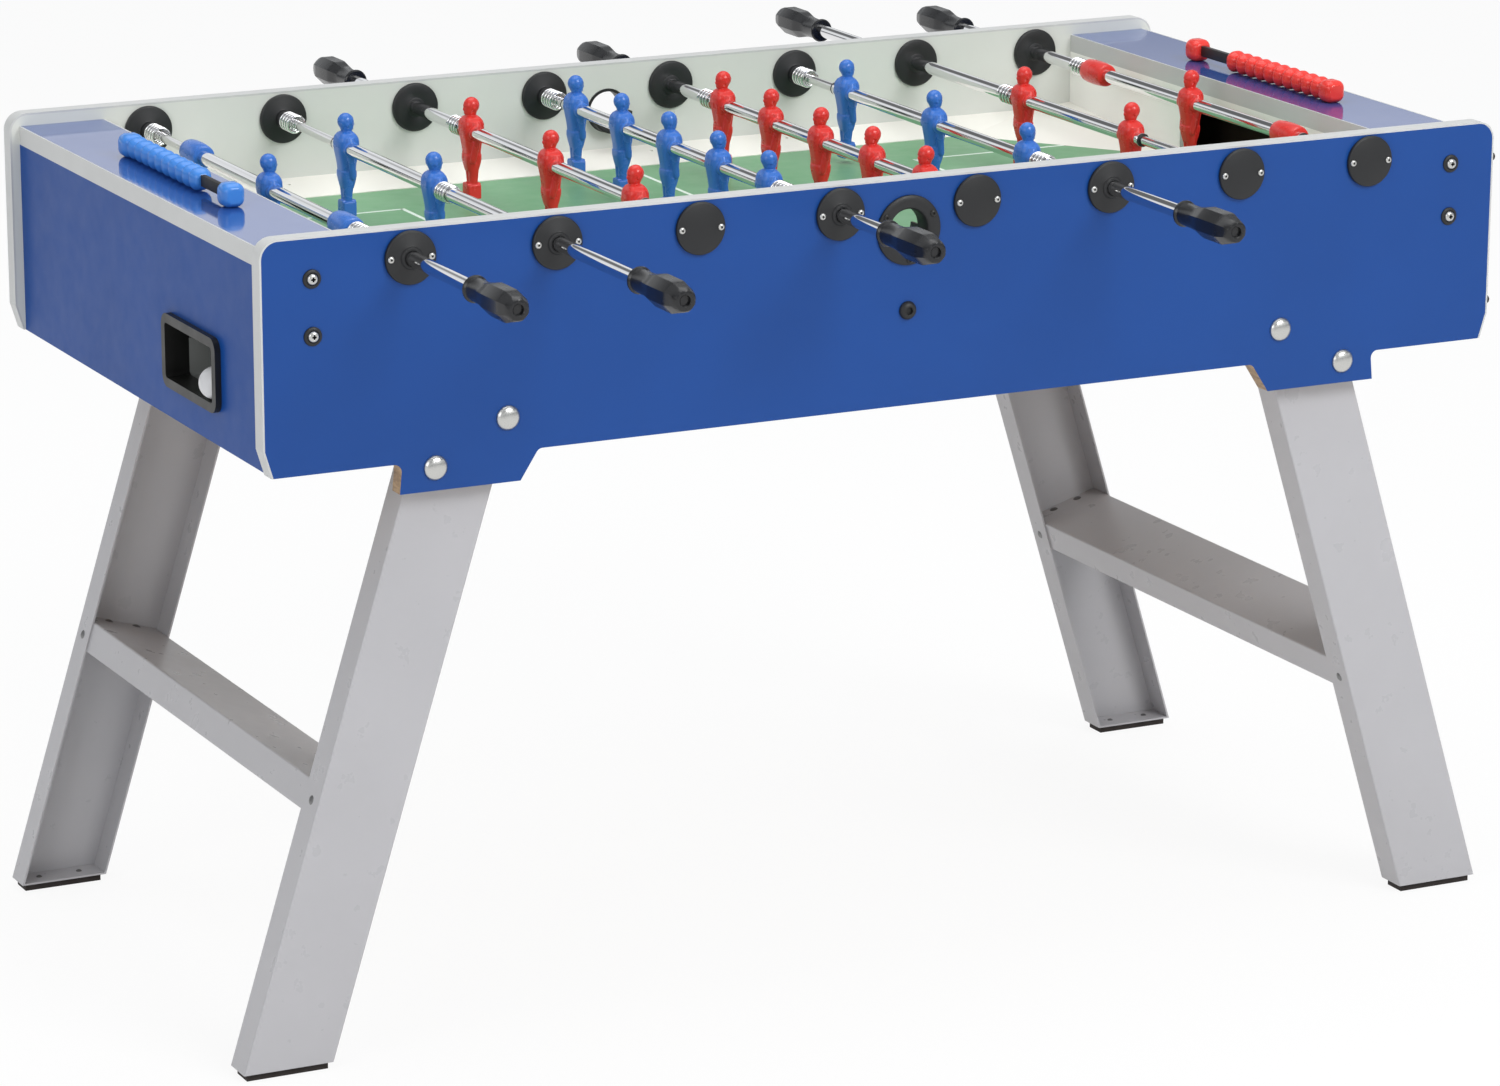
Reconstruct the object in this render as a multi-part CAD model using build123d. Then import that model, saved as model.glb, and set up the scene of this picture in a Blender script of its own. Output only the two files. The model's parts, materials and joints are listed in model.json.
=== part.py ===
from build123d import *
import os
from math import atan, cos, degrees, radians, sin, sqrt, tan

# Foosball table in millimetres. +Z is up, +X runs along the table and -Y is the blue side.
# The origin is on the floor, under the middle of the playfield.

# Clearances
RUNNING_GAP = 0.05      # radial, between a turning or sliding shaft and its bore
FIT_GAP = 0.05          # radial, round a fixed bolt, screw or plug
SEAT_GAP = 0.3          # between pieces that only rest against each other
CUT_MARGIN = 1          # how far a cut runs on past the face it opens

# Rods
ROD_HEIGHT = 849.5
GOALIE_TO_GOAL = 50     # from a goalkeeper's rod to the goal wall behind it
ROD_RADIUS = 5.2
ROD_HEAD_RADIUS = 8
ROD_HEAD_LENGTH = 5
ROD_OVERLAP = 120       # inner rod left inside the tube when the rod is pulled right out
GUIDE_LENGTH = 20
TUBE_RADIUS = 7.5
TUBE_WALL = 1.2
TUBE_TAIL = 7           # tube beyond the last player
BUSH_FLANGE = 3
BUSH_PLUG = 12

# Springs on the rods
WIRE_RADIUS = 1.25
FAR_SPRING_RADIUS = 9.8
FAR_SPRING_LENGTH = 31
FAR_SPRING_TURNS = 4
NEAR_SPRING_RADIUS = 9.3
NEAR_SPRING_LENGTH = 30
NEAR_SPRING_TURNS = 4

# Players
PLAYER_WIDTH = 35
PLAYER_DEPTH = 20
SHOULDER_TOP = 17       # heights are counted up or down from the rod's axis
SHOULDER_EDGE = 6
SHOULDER_CUT = 4        # the shoulder's outer corner is cut off by this much
SHOULDER_RISE = 6       # over this much height
COLLAR_WIDTH = 9
WAIST_DROP = 24
HIP_DROP = 32
HIP_WIDTH = 25
HIP_DEPTH = 15
ANKLE_WIDTH = 13
ANKLE_DEPTH = 10
THROAT_RADIUS = 4.7
HEAD_TOP = 38
HEAD_RADIUS = 9.3
HEAD_HEIGHT = 23
FOOT_DROP = 75
FOOT_WIDTH = 18
FOOT_DEPTH = 11
FOOT_HEIGHT = 16
FOOT_ROUND = 2
RING_RADIUS = 14
RING_LENGTH = 44
RING_CHAMFER = 2

# Each rod as seen by its own player: place counted in pitches from the middle, players,
# room between the outermost player or ring and the disc when the rod is centred, counted from
# that player's middle, and the grip's collar beyond the disc at the same moment
GOALIE, TWO, FIVE, THREE = "goalie", "two", "five", "three"
ROD_PLACE = {GOALIE: -3.5, TWO: -2.5, FIVE: -0.5, THREE: 1.5}
PLAYERS = {GOALIE: 1, TWO: 2, FIVE: 5, THREE: 3}
SIDE_ROOM = {GOALIE: 142, TWO: 231.5, FIVE: 110, THREE: 141}
COLLAR_OUT = {GOALIE: 151, TWO: 239, FIVE: 126, THREE: 158}
# How far each rod is pushed in at rest
PUSHED_IN = {
    ("blue", GOALIE): -3, ("blue", TWO): 51.3, ("blue", FIVE): 26.4, ("blue", THREE): 12.2,
    ("red", GOALIE): 5, ("red", TWO): 25.3, ("red", FIVE): 23.2, ("red", THREE): 13.2,
}

# Handles
HANDLE_LENGTH = 105
COLLAR_RADIUS = 14
COLLAR_LENGTH = 5
COLLAR_ROUND = 2
NECK_RADIUS = 12
NECK_LENGTH = 29        # the round neck, with its collar
FLARE_LENGTH = 22
GRIP_RADIUS = 17        # to the octagon's corners
GRIP_END_RADIUS = 11.5
GRIP_END_LENGTH = 17
GRIP_SIDES = 8
RECESS_RADIUS = 5.5
RECESS_DEPTH = 4
HANDLE_BORE = 80

# Cabinet
PANEL_LENGTH = 1440
PANEL_THICKNESS = 20
CABINET_WIDTH = 714     # between the side panels
PANEL_ABOVE_ROD = 30.5
PANEL_HEIGHT = 241
PANEL_CORNER = 20
PANEL_CUT_LENGTH = 8.5
PANEL_CUT_HEIGHT = 28
EDGE_BAND = 2
TAB_DROP = 31.5
TAB_IN = 80.4           # tabs reach this far each way from the leg's middle, at the panel's edge
TAB_IN_FOOT = 59.9      # and this far at their foot
TAB_OUT = 69.6
TAB_OUT_FOOT = 72.6
TAB_ROUND = 8
END_INSET = 11
END_THICKNESS = 20
TOP_BOARD_WIDTH = 99
TOP_BOARD_THICKNESS = 20
TOP_BOARD_ABOVE_ROD = 16.8
FLOOR_THICKNESS = 10
FLOOR_RISE = 6
FLOOR_NOTCH_GAP = 4
BLOCK_DEPTH = 40
BATTEN_DEPTH = 30
BATTEN_HEIGHT = 34
BATTEN_TO_LEG = 111.4   # the battens stop this far from the middle of a leg

# Playfield
FIELD_DROP = 82
FIELD_THICKNESS = 10
STRIP_WIDTH = 50
STRIP_RISE = 14
STRIP_LIP = 1
RAMP_SLOPE = 0.11
RAMP_ON_SIDE = 170      # length of a corner ramp along the strip's edge
RAMP_ON_END = 227       # and along the goal wall, from the same corner
GOAL_WIDTH = 200
GOAL_HEIGHT = 68
GOAL_THICKNESS = 18
STRIP_SCREW_INSET = 16
STRIP_SCREW_PLACES = (-400, -223, -49, 49, 223, 400)
STRIP_SCREW_SINK = 6
STRIP_SCREW_HEAD = 3
STRIP_SCREW_HEAD_HEIGHT = 1.2

# Ball return; drops are counted from the field's underside
CHANNEL_WIDTH = 132
CHANNEL_UNDER_GOAL = 4  # the channel's far side lies this far inside the goal's near side
CHANNEL_LOW_DROP = 75.5
CHANNEL_HIGH_DROP = 43.5
CHANNEL_WALL = 2.5
CHUTE_LOW_DROP = 35.5
CHUTE_HIGH_DROP = 13.5
CHUTE_PAST_GOAL = 12
RETURN_LOW_DROP = 74
RETURN_HEIGHT = 58
RETURN_RIM = 10
RETURN_PROUD = 6.6
RETURN_CORNER = 4
BALL_RADIUS = 17
BALL_BACK = 4           # middle of the ball behind the end panel's face

# Discs that carry the rods
DISC_RADIUS = 27.5
DISC_THICKNESS = 5
HUB_RADIUS = 11.5
HUB_HEIGHT = 3
SPRING_HUB_RADIUS = 10.5
SPRING_HUB_HEIGHT = 7
SLEEVE_RADIUS = 14.8
DISC_SCREW_OFFSET = 22
SCREW_RADIUS = 2
SCREW_HEAD_RADIUS = 3.5
SCREW_HEAD_HEIGHT = 2
SCREW_BITE = 3

# Ball entry
ENTRY_BELOW_ROD = 24
ENTRY_FLANGE_RADIUS = 37
ENTRY_FLANGE = 4
ENTRY_RADIUS = 22
ENTRY_WALL = 2.5
ENTRY_CUP = 16
ENTRY_RAMP_HIGH = 13    # the ramp's outer and inner edges, below the ring's middle
ENTRY_RAMP_LOW = 21
ENTRY_SCREW_OFFSET = 32

# Panel bolts
CORNER_BOLT_INSET = 55  # from the panel's end
CORNER_BOLTS_BELOW_ROD = (12, 70)
CUP_RADIUS = 9.8
CUP_HEIGHT = 3.5
CUP_FLAT = 1            # the cup's dome is cut off this far below its peak
BUTTON_RADIUS = 6
BUTTON_HEIGHT = 3.5
BOLT_RADIUS = 3
FIELD_BOLT_BELOW_ROD = 109
FIELD_BOLT_HEAD = 6
BUFFER_RADIUS = 4.5     # rubber buffers on the right-hand end of the side panels
BUFFER_HEIGHT = 8.2
BUFFERS_BELOW_ROD = (11, 170)

# Legs
LEG_WIDTH = 95
LEG_DEPTH = 37
LEG_SHEET = 2
LEG_SPLAY = 17.3
LEG_INSET = 218.6       # from the panel's end to the middle of the leg at the panel's lower edge
LEG_INSIDE = 90         # leg above the panel's lower edge
PAD_HEIGHT = 8
PAD_INSET = 5
DOME_RADIUS = 12.5
DOME_HEIGHT = 6
LEG_BOLT_RADIUS = 4
NUT_RADIUS = 8
NUT_HEIGHT = 6.5
NUT_SIDES = 6
# Each bolt's place outward from the leg's middle, and above the panel's lower edge
LEG_BOLTS = ((33.6, -7.5), (-46.4, 35.5))
CROSSBAR_HEIGHT = 291.5
CROSSBAR_FLANGE = 34
FRAME_SCREW_RADIUS = 2.5
FRAME_SCREW_HEAD = 5
FRAME_SCREW_DROP = 19
TOP_SCREW_SPACING = 34
TOP_SCREW_INSET = 8

# Goal counters
COUNTER_INSET = 51      # from the end panel's face
COUNTER_SPAN = 264      # between the end blocks
COUNTER_BLOCK = 25
COUNTER_ROUND = 5
COUNTER_SOCKET = 12
COUNTER_BAR_HEIGHT = 12
COUNTER_BAR_WIDTH = 6
BEAD_COUNT = 10
BEAD_LENGTH = 19.8
BEAD_SIZE = 24.4
BEAD_CORNER = 7
BEAD_ROUND = 3
BEAD_GAP = 0.2
BEAD_CLEARANCE = 0.6
BEAD_SLOT_GAP = 0.4

# Sizes that follow from those above
SIDE = CABINET_WIDTH / 2
FACE = SIDE + PANEL_THICKNESS
PANEL_TOP = ROD_HEIGHT + PANEL_ABOVE_ROD
PANEL_BOTTOM = PANEL_TOP - PANEL_HEIGHT
END_FACE = PANEL_LENGTH / 2 - END_INSET
END_BACK = END_FACE - END_THICKNESS
GOAL_FACE = END_FACE - TOP_BOARD_WIDTH
GOAL_BACK = GOAL_FACE + GOAL_THICKNESS
TOP_BOARD_TOP = ROD_HEIGHT + TOP_BOARD_ABOVE_ROD
TOP_BOARD_UNDER = TOP_BOARD_TOP - TOP_BOARD_THICKNESS
FIELD = ROD_HEIGHT - FIELD_DROP
FIELD_UNDER = FIELD - FIELD_THICKNESS
ROD_PITCH = (GOAL_FACE - GOALIE_TO_GOAL) / max(abs(place) for place in ROD_PLACE.values())
STRIP_EDGE = SIDE - STRIP_WIDTH
DISC_OUT = FACE + DISC_THICKNESS
DISC_IN = SIDE - DISC_THICKNESS
FAR_SPRING_SEAT = DISC_IN - SPRING_HUB_HEIGHT
SPREAD = {kind: 2 * (DISC_IN - room) for kind, room in SIDE_ROOM.items()}
SPACING = {kind: SPREAD[kind] / max(PLAYERS[kind] - 1, 1) for kind in PLAYERS}
COLLAR_OFFSET = {kind: DISC_OUT + out for kind, out in COLLAR_OUT.items()}
DISC_SCREW_TIP = SCREW_BITE - SIDE
ENTRY_SCREW_TIP = -SIDE - SCREW_BITE
SLOPE = tan(radians(LEG_SPLAY))
LEG_X = PANEL_LENGTH / 2 - LEG_INSET
CORNER_BOLT_X = PANEL_LENGTH / 2 - CORNER_BOLT_INSET
CHANNEL_FAR = CHANNEL_UNDER_GOAL - GOAL_WIDTH / 2
CHANNEL_NEAR = CHANNEL_FAR - CHANNEL_WIDTH
CHANNEL_LOW = FIELD_UNDER - CHANNEL_LOW_DROP
CHANNEL_HIGH = FIELD_UNDER - CHANNEL_HIGH_DROP
CHUTE_LOW = FIELD_UNDER - CHUTE_LOW_DROP
CHUTE_HIGH = FIELD_UNDER - CHUTE_HIGH_DROP
CHUTE_END = GOAL_WIDTH / 2 + CHUTE_PAST_GOAL
RETURN_LOW = FIELD_UNDER - RETURN_LOW_DROP
RETURN_HIGH = RETURN_LOW + RETURN_HEIGHT
ENTRY_HEIGHT = ROD_HEIGHT - ENTRY_BELOW_ROD
TUBE_BORE = TUBE_RADIUS - TUBE_WALL
BEAD_HEIGHT = TOP_BOARD_TOP + BEAD_CLEARANCE + BEAD_SIZE / 2
COUNTER_X = END_FACE - COUNTER_INSET
HALF_TURN = Rot(0, 0, 180)
RODS = [(team, kind) for team in ("blue", "red") for kind in ROD_PLACE]


def block(x0, x1, y0, y1, z0, z1):
    """A box between two limits along each axis."""
    return Pos((x0 + x1) / 2, (y0 + y1) / 2, (z0 + z1) / 2) * Box(x1 - x0, y1 - y0, z1 - z0)


def round_y(radius, y0, y1, x=0, z=0):
    """A cylinder along Y from y0 to y1."""
    return Pos(x, (y0 + y1) / 2, z) * Rot(90, 0, 0) * Cylinder(radius, y1 - y0)


def upright(outline, y0, y1):
    """A slab from y0 to y1 whose outline is drawn as x across and z up."""
    return Pos(0, y1, 0) * Rot(90, 0, 0) * extrude(outline, y1 - y0, dir=(0, 0, 1))


def endwise(outline, x0, x1):
    """A slab from x0 to x1 whose outline is drawn as y across and z up."""
    return Pos(x0, 0, 0) * Rot(0, 0, 90) * Rot(90, 0, 0) * extrude(outline, x1 - x0, dir=(0, 0, 1))


def mirrored_x(part):
    return mirror(part, Plane.YZ)


def both_ends(part):
    """A piece and its twin at the other end of the table."""
    return [part, mirrored_x(part)]


def both_turned(parts):
    """Pieces and their twins half a turn round the table."""
    return parts + [HALF_TURN * part for part in parts]


def solids_of(item):
    if isinstance(item, (list, tuple)):
        return [solid for each in item for solid in solids_of(each)]
    return list(item.solids())


def save(name, parts):
    shape = Compound(children=solids_of(parts))
    export_step(shape, os.path.join("parts", name + ".step"))


def corners_near(outline, x, z, reach=1.0):
    """The corners of a flat outline at a given height, at x and at -x."""
    return [v for v in outline.vertices() if abs(abs(v.X) - x) < reach and abs(v.Y - z) < reach]


# ---------------------------------------------------------------- cabinet

def panel_outline(inset):
    """The side panel without its leg tabs, drawn inside its edge band by the inset."""
    half = PANEL_LENGTH / 2 - inset
    top = PANEL_TOP - inset
    foot = half - PANEL_CUT_LENGTH
    cut = PANEL_BOTTOM + PANEL_CUT_HEIGHT
    points = [(-foot, PANEL_BOTTOM), (foot, PANEL_BOTTOM), (half, cut),
              (half, top), (-half, top), (-half, cut)]
    outline = Polygon(*points, align=None)
    return fillet(corners_near(outline, half, top), PANEL_CORNER - inset)


def panel_tabs():
    """The two tabs that reach down over the legs."""
    foot = PANEL_BOTTOM - TAB_DROP
    root = PANEL_BOTTOM + TAB_DROP / 4
    inner, outer = LEG_X - TAB_IN, LEG_X + TAB_OUT
    points = [(inner, root), (inner, PANEL_BOTTOM), (LEG_X - TAB_IN_FOOT, foot), (LEG_X + TAB_OUT_FOOT, foot),
              (outer, PANEL_BOTTOM), (outer, root)]
    twin = [(-x, z) for x, z in reversed(points)]
    return Polygon(*points, align=None) + Polygon(*twin, align=None)


def side_panel():
    """The front side panel, with every hole that something passes through."""
    outline = panel_outline(EDGE_BAND) + panel_tabs()
    joints = corners_near(outline, LEG_X - TAB_IN, PANEL_BOTTOM)
    joints += corners_near(outline, LEG_X + TAB_OUT, PANEL_BOTTOM)
    outline = fillet(joints, TAB_ROUND)
    panel = upright(outline, -FACE, -SIDE)
    holes = []
    for step in range(2 * len(ROD_PLACE)):
        x = (step - len(ROD_PLACE) + 0.5) * ROD_PITCH
        holes.append((SLEEVE_RADIUS + FIT_GAP, x, ROD_HEIGHT))
        holes += [(SCREW_RADIUS + FIT_GAP, x + side * DISC_SCREW_OFFSET, ROD_HEIGHT) for side in (-1, 1)]
    holes.append((ENTRY_RADIUS + ENTRY_WALL + FIT_GAP, 0, ENTRY_HEIGHT))
    holes.append((BOLT_RADIUS + FIT_GAP, 0, field_bolt_height()))
    holes += [(BOLT_RADIUS + FIT_GAP, x, z) for x, z in corner_bolt_places()]
    holes += [(LEG_BOLT_RADIUS + FIT_GAP, x, z) for x, z in leg_bolt_places()]
    for radius, x, z in holes:
        panel -= round_y(radius, -FACE - CUT_MARGIN, -SIDE + CUT_MARGIN, x, z)
    for x, z in entry_screw_places():
        panel -= round_y(SCREW_RADIUS + FIT_GAP, -FACE - CUT_MARGIN, ENTRY_SCREW_TIP + SEAT_GAP, x, z)
    return panel


def side_band():
    """The strip that covers the front panel's top and ends."""
    return upright(panel_outline(0) - panel_outline(EDGE_BAND), -FACE, -SIDE)


def top_board():
    return block(GOAL_FACE + EDGE_BAND, END_FACE - EDGE_BAND, -SIDE, SIDE, TOP_BOARD_UNDER, TOP_BOARD_TOP)


def top_bands():
    spans = [(GOAL_FACE, GOAL_FACE + EDGE_BAND), (END_FACE - EDGE_BAND, END_FACE)]
    return [block(x0, x1, -SIDE, SIDE, TOP_BOARD_UNDER, TOP_BOARD_TOP) for x0, x1 in spans]


def end_board():
    """The right-hand end panel, which has no opening."""
    return block(END_BACK, END_FACE, -SIDE, SIDE, PANEL_BOTTOM, TOP_BOARD_UNDER)


def left_end_panel():
    """The left-hand end panel, with the ball return cut through it."""
    opening = return_outline(CHANNEL_WALL + FIT_GAP)
    return mirrored_x(end_board()) - endwise(opening, -END_FACE - CUT_MARGIN, -END_BACK + CUT_MARGIN)


def goal_wall():
    wall = block(GOAL_FACE, GOAL_BACK, -SIDE, SIDE, FIELD, TOP_BOARD_UNDER)
    half = GOAL_WIDTH / 2
    front, back = GOAL_FACE - CUT_MARGIN, GOAL_BACK + CUT_MARGIN
    return wall - block(front, back, -half, half, FIELD, FIELD + GOAL_HEIGHT)


def corner_block():
    """A block behind the goal wall that the corner bolts screw into."""
    part = block(GOAL_BACK, END_BACK, -SIDE, BLOCK_DEPTH - SIDE, FIELD_UNDER, TOP_BOARD_UNDER)
    for x, z in corner_bolt_places():
        part -= round_y(BOLT_RADIUS + FIT_GAP, -SIDE - CUT_MARGIN, bolt_tip() + SEAT_GAP, x, z)
    return part


def field_batten():
    """The batten on the front panel that carries the field's edge."""
    half = LEG_X - BATTEN_TO_LEG
    part = block(-half, half, -SIDE, BATTEN_DEPTH - SIDE, FIELD_UNDER - BATTEN_HEIGHT, FIELD_UNDER)
    start, end = -SIDE - CUT_MARGIN, bolt_tip() + SEAT_GAP
    return part - round_y(BOLT_RADIUS + FIT_GAP, start, end, 0, field_bolt_height())


def cabinet_floor():
    under = PANEL_BOTTOM + FLOOR_RISE
    board = block(-END_BACK, END_BACK, -SIDE, SIDE, under, under + FLOOR_THICKNESS)
    middle = LEG_X - SLOPE * FLOOR_RISE
    reach = LEG_WIDTH / 2 / cos(radians(LEG_SPLAY)) + SLOPE * FLOOR_THICKNESS + FLOOR_NOTCH_GAP
    depth = LEG_DEPTH + NUT_HEIGHT
    notch = block(middle - reach, middle + reach, -SIDE - CUT_MARGIN, depth - SIDE, PANEL_BOTTOM, PANEL_TOP)
    for cut in both_turned(both_ends(notch)):
        board -= cut
    return board


# ---------------------------------------------------------------- playfield

def playfield():
    """The green board; it runs under the goal walls and stops clear of the chutes."""
    board = block(-GOAL_BACK, GOAL_BACK, -SIDE, SIDE, FIELD_UNDER, FIELD)
    for hole in both_turned([strip_screw_shank(x, FIT_GAP) for x in STRIP_SCREW_PLACES]):
        board -= hole
    return board


def side_strip():
    """The front strip: a wedge that rises to the side panel and rolls the ball back."""
    points = [(-SIDE, FIELD), (-SIDE, FIELD + STRIP_RISE),
              (-STRIP_EDGE, FIELD + STRIP_LIP), (-STRIP_EDGE, FIELD)]
    strip = endwise(Polygon(*points, align=None), -GOAL_FACE, GOAL_FACE)
    for x in STRIP_SCREW_PLACES:
        strip -= strip_screw_shank(x, FIT_GAP)
    return strip


def corner_ramp():
    """The ramp in the front right corner, rising from a slanted line towards the corner."""
    run = sqrt(RAMP_ON_SIDE ** 2 + RAMP_ON_END ** 2)
    past_edge = STRIP_WIDTH * RAMP_ON_SIDE / RAMP_ON_END
    start = (GOAL_FACE - RAMP_ON_SIDE - past_edge, -SIDE)
    end = (GOAL_FACE, RAMP_ON_END - STRIP_EDGE)
    corner = (GOAL_FACE, -SIDE)
    height = RAMP_SLOPE * (corner[0] - start[0]) * RAMP_ON_END / run
    outline = Polygon(start, corner, end, align=None)
    prism = Pos(0, 0, FIELD) * extrude(outline, height + STRIP_RISE, dir=(0, 0, 1))
    tip = (*start, FIELD)
    along = Vector(*end, FIELD) - Vector(*tip)
    top = Vector(*corner, FIELD + height) - Vector(*tip)
    plane = Plane(origin=tip, x_dir=along, z_dir=along.cross(top) * (1 if along.cross(top).Z > 0 else -1))
    ramp = split(prism, bisect_by=plane, keep=Keep.BOTTOM)
    return ramp - side_strip()


# ---------------------------------------------------------------- ball return

def return_outline(grow):
    low, high = RETURN_LOW - grow, RETURN_HIGH + grow
    outline = Polygon((CHANNEL_NEAR - grow, low), (CHANNEL_FAR + grow, low), (CHANNEL_FAR + grow, high),
                      (CHANNEL_NEAR - grow, high), align=None)
    return fillet(outline.vertices(), RETURN_CORNER + grow)


def return_frame():
    """The black frame round the ball return: a rim on the face and a sleeve through the panel."""
    rim = endwise(return_outline(RETURN_RIM), -END_FACE - RETURN_PROUD, -END_FACE)
    sleeve = endwise(return_outline(CHANNEL_WALL), -END_FACE, -END_BACK)
    opening = endwise(return_outline(0), -END_FACE - RETURN_PROUD - CUT_MARGIN, -END_BACK + CUT_MARGIN)
    return rim + sleeve - opening


def trough(near, far, x0, z0, x1, z1, top):
    """A U-shaped channel along X whose floor runs from (x0, z0) to (x1, z1)."""
    wall, past = CHANNEL_WALL, CUT_MARGIN
    slip = past * (z1 - z0) / (x1 - x0)
    outer = Polygon((x0, z0 - wall), (x1, z1 - wall), (x1, top), (x0, top), align=None)
    inner = Polygon((x0 - past, z0 - slip), (x1 + past, z1 + slip),
                    (x1 + past, top + past), (x0 - past, top + past), align=None)
    return upright(outer, near - wall, far + wall) - upright(inner, near, far)


def ball_channel():
    """The channel under the field: it falls to the left end, where the return opens."""
    channel = trough(CHANNEL_NEAR, CHANNEL_FAR, -END_BACK, CHANNEL_LOW, END_BACK, CHANNEL_HIGH, FIELD_UNDER)
    near, far = CHANNEL_FAR - CUT_MARGIN, CHANNEL_FAR + CHANNEL_WALL + CUT_MARGIN
    mouth = block(GOAL_BACK, END_BACK + CUT_MARGIN, near, far, CHUTE_LOW, FIELD_UNDER + CUT_MARGIN)
    for cut in both_ends(mouth):
        channel -= cut
    return channel


def goal_chute():
    """The tray behind the right-hand goal that drops the ball into the channel."""
    wall = CHANNEL_WALL
    low, high = CHUTE_LOW, CHUTE_HIGH
    near, far = CHANNEL_FAR + wall + SEAT_GAP, CHUTE_END
    outer = Polygon((near, low - wall), (far, high - wall), (far, FIELD_UNDER), (near, FIELD_UNDER), align=None)
    inside = near - CUT_MARGIN
    inner = Polygon((inside, low), (far - wall, high), (far - wall, FIELD), (inside, FIELD), align=None)
    return endwise(outer, GOAL_BACK, END_BACK) - endwise(inner, GOAL_BACK + wall, END_BACK - wall)


def ball():
    """The ball at rest on the lip of the return, against its near side."""
    lip = RETURN_LOW + BALL_RADIUS + SEAT_GAP
    return Pos(-END_FACE + BALL_BACK, CHANNEL_NEAR + BALL_RADIUS + 2 * SEAT_GAP, lip) * Sphere(BALL_RADIUS)


# ---------------------------------------------------------------- discs, screws and bolts

def disc_screw_holes(x):
    radius, outside, tip = SCREW_RADIUS + FIT_GAP, -DISC_OUT - CUT_MARGIN, DISC_SCREW_TIP + SEAT_GAP
    return [round_y(radius, outside, tip, x + side * DISC_SCREW_OFFSET, ROD_HEIGHT) for side in (-1, 1)]


def plain_discs(x):
    """The two discs clamped on the front panel at x; the outer one has a sleeve in the hole."""
    outer = round_y(DISC_RADIUS, -DISC_OUT, -FACE, x, ROD_HEIGHT)
    outer += round_y(SLEEVE_RADIUS, -FACE, -SIDE, x, ROD_HEIGHT)
    inner = round_y(DISC_RADIUS, -SIDE, -DISC_IN, x, ROD_HEIGHT)
    for hole in disc_screw_holes(x):
        outer -= hole
        inner -= hole
    return outer, inner


def tube_bearing(x):
    """Discs on the handle side, bored for the sliding tube."""
    outer, inner = plain_discs(x)
    outer += round_y(HUB_RADIUS, -DISC_OUT - HUB_HEIGHT, -DISC_OUT, x, ROD_HEIGHT)
    outside, inside = -DISC_OUT - HUB_HEIGHT - CUT_MARGIN, -DISC_IN + CUT_MARGIN
    bore = round_y(TUBE_RADIUS + RUNNING_GAP, outside, inside, x, ROD_HEIGHT)
    return [outer - bore, inner - bore]


def rod_bearing(x):
    """Discs on the far side: a blank outer one over the rod's head, a bored inner one with a hub."""
    outer, inner = plain_discs(x)
    pocket_end = -SIDE - 2 * SEAT_GAP - ROD_HEAD_LENGTH
    outer -= round_y(ROD_HEAD_RADIUS + SEAT_GAP, pocket_end, -SIDE + CUT_MARGIN, x, ROD_HEIGHT)
    inner += round_y(SPRING_HUB_RADIUS, -DISC_IN, -FAR_SPRING_SEAT, x, ROD_HEIGHT)
    inner -= round_y(ROD_RADIUS + RUNNING_GAP, -SIDE - CUT_MARGIN, -FAR_SPRING_SEAT + CUT_MARGIN, x, ROD_HEIGHT)
    return [outer, inner]


def entry_screw_places():
    angles = [radians(degree) for degree in (30, 150, 270)]
    return [(ENTRY_SCREW_OFFSET * cos(a), ENTRY_HEIGHT + ENTRY_SCREW_OFFSET * sin(a)) for a in angles]


def entry_ring():
    """The ring round the ball entry, with a half cup inside and a ramp that rolls the ball in."""
    outside = ENTRY_RADIUS + ENTRY_WALL
    front, back = -FACE - ENTRY_FLANGE, -SIDE + ENTRY_CUP
    ring = round_y(ENTRY_FLANGE_RADIUS, front, -FACE, 0, ENTRY_HEIGHT)
    ring += round_y(outside, -FACE, back, 0, ENTRY_HEIGHT)
    ring -= block(-outside, outside, -SIDE, back, ENTRY_HEIGHT, ENTRY_HEIGHT + outside)
    ring -= round_y(ENTRY_RADIUS, front - CUT_MARGIN, back + CUT_MARGIN, 0, ENTRY_HEIGHT)
    ring += entry_ramp(front, back)
    for x, z in entry_screw_places():
        ring -= round_y(SCREW_RADIUS + FIT_GAP, front - CUT_MARGIN, -FACE + CUT_MARGIN, x, z)
    return ring


def entry_ramp(front, back):
    """The flat ramp in the bottom of the ring, falling from the outside to the inside."""
    bottom = ENTRY_HEIGHT - ENTRY_RADIUS - ENTRY_WALL
    side = Polygon((front, bottom), (back, bottom), (back, ENTRY_HEIGHT - ENTRY_RAMP_LOW),
                   (front, ENTRY_HEIGHT - ENTRY_RAMP_HIGH), align=None)
    wedge = endwise(side, -ENTRY_RADIUS, ENTRY_RADIUS)
    return wedge & round_y(ENTRY_RADIUS + ENTRY_WALL / 2, front, back, 0, ENTRY_HEIGHT)


def panel_screw(x, z, seat, tip):
    """A pan-head screw through the front panel, from its seat to its tip."""
    shank = round_y(SCREW_RADIUS, seat, tip, x, z)
    head = Pos(x, seat, z) * Rot(90, 0, 0) * dome(SCREW_HEAD_RADIUS, SCREW_HEAD_HEIGHT)
    return shank + head


def dome(radius, height):
    """A spherical cap on the XY plane, rising along Z."""
    ball_radius = (radius ** 2 + height ** 2) / (2 * height)
    cap = Pos(0, 0, height - ball_radius) * Sphere(ball_radius)
    return cap & Pos(0, 0, height) * Cylinder(2 * radius, 2 * height)


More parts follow.
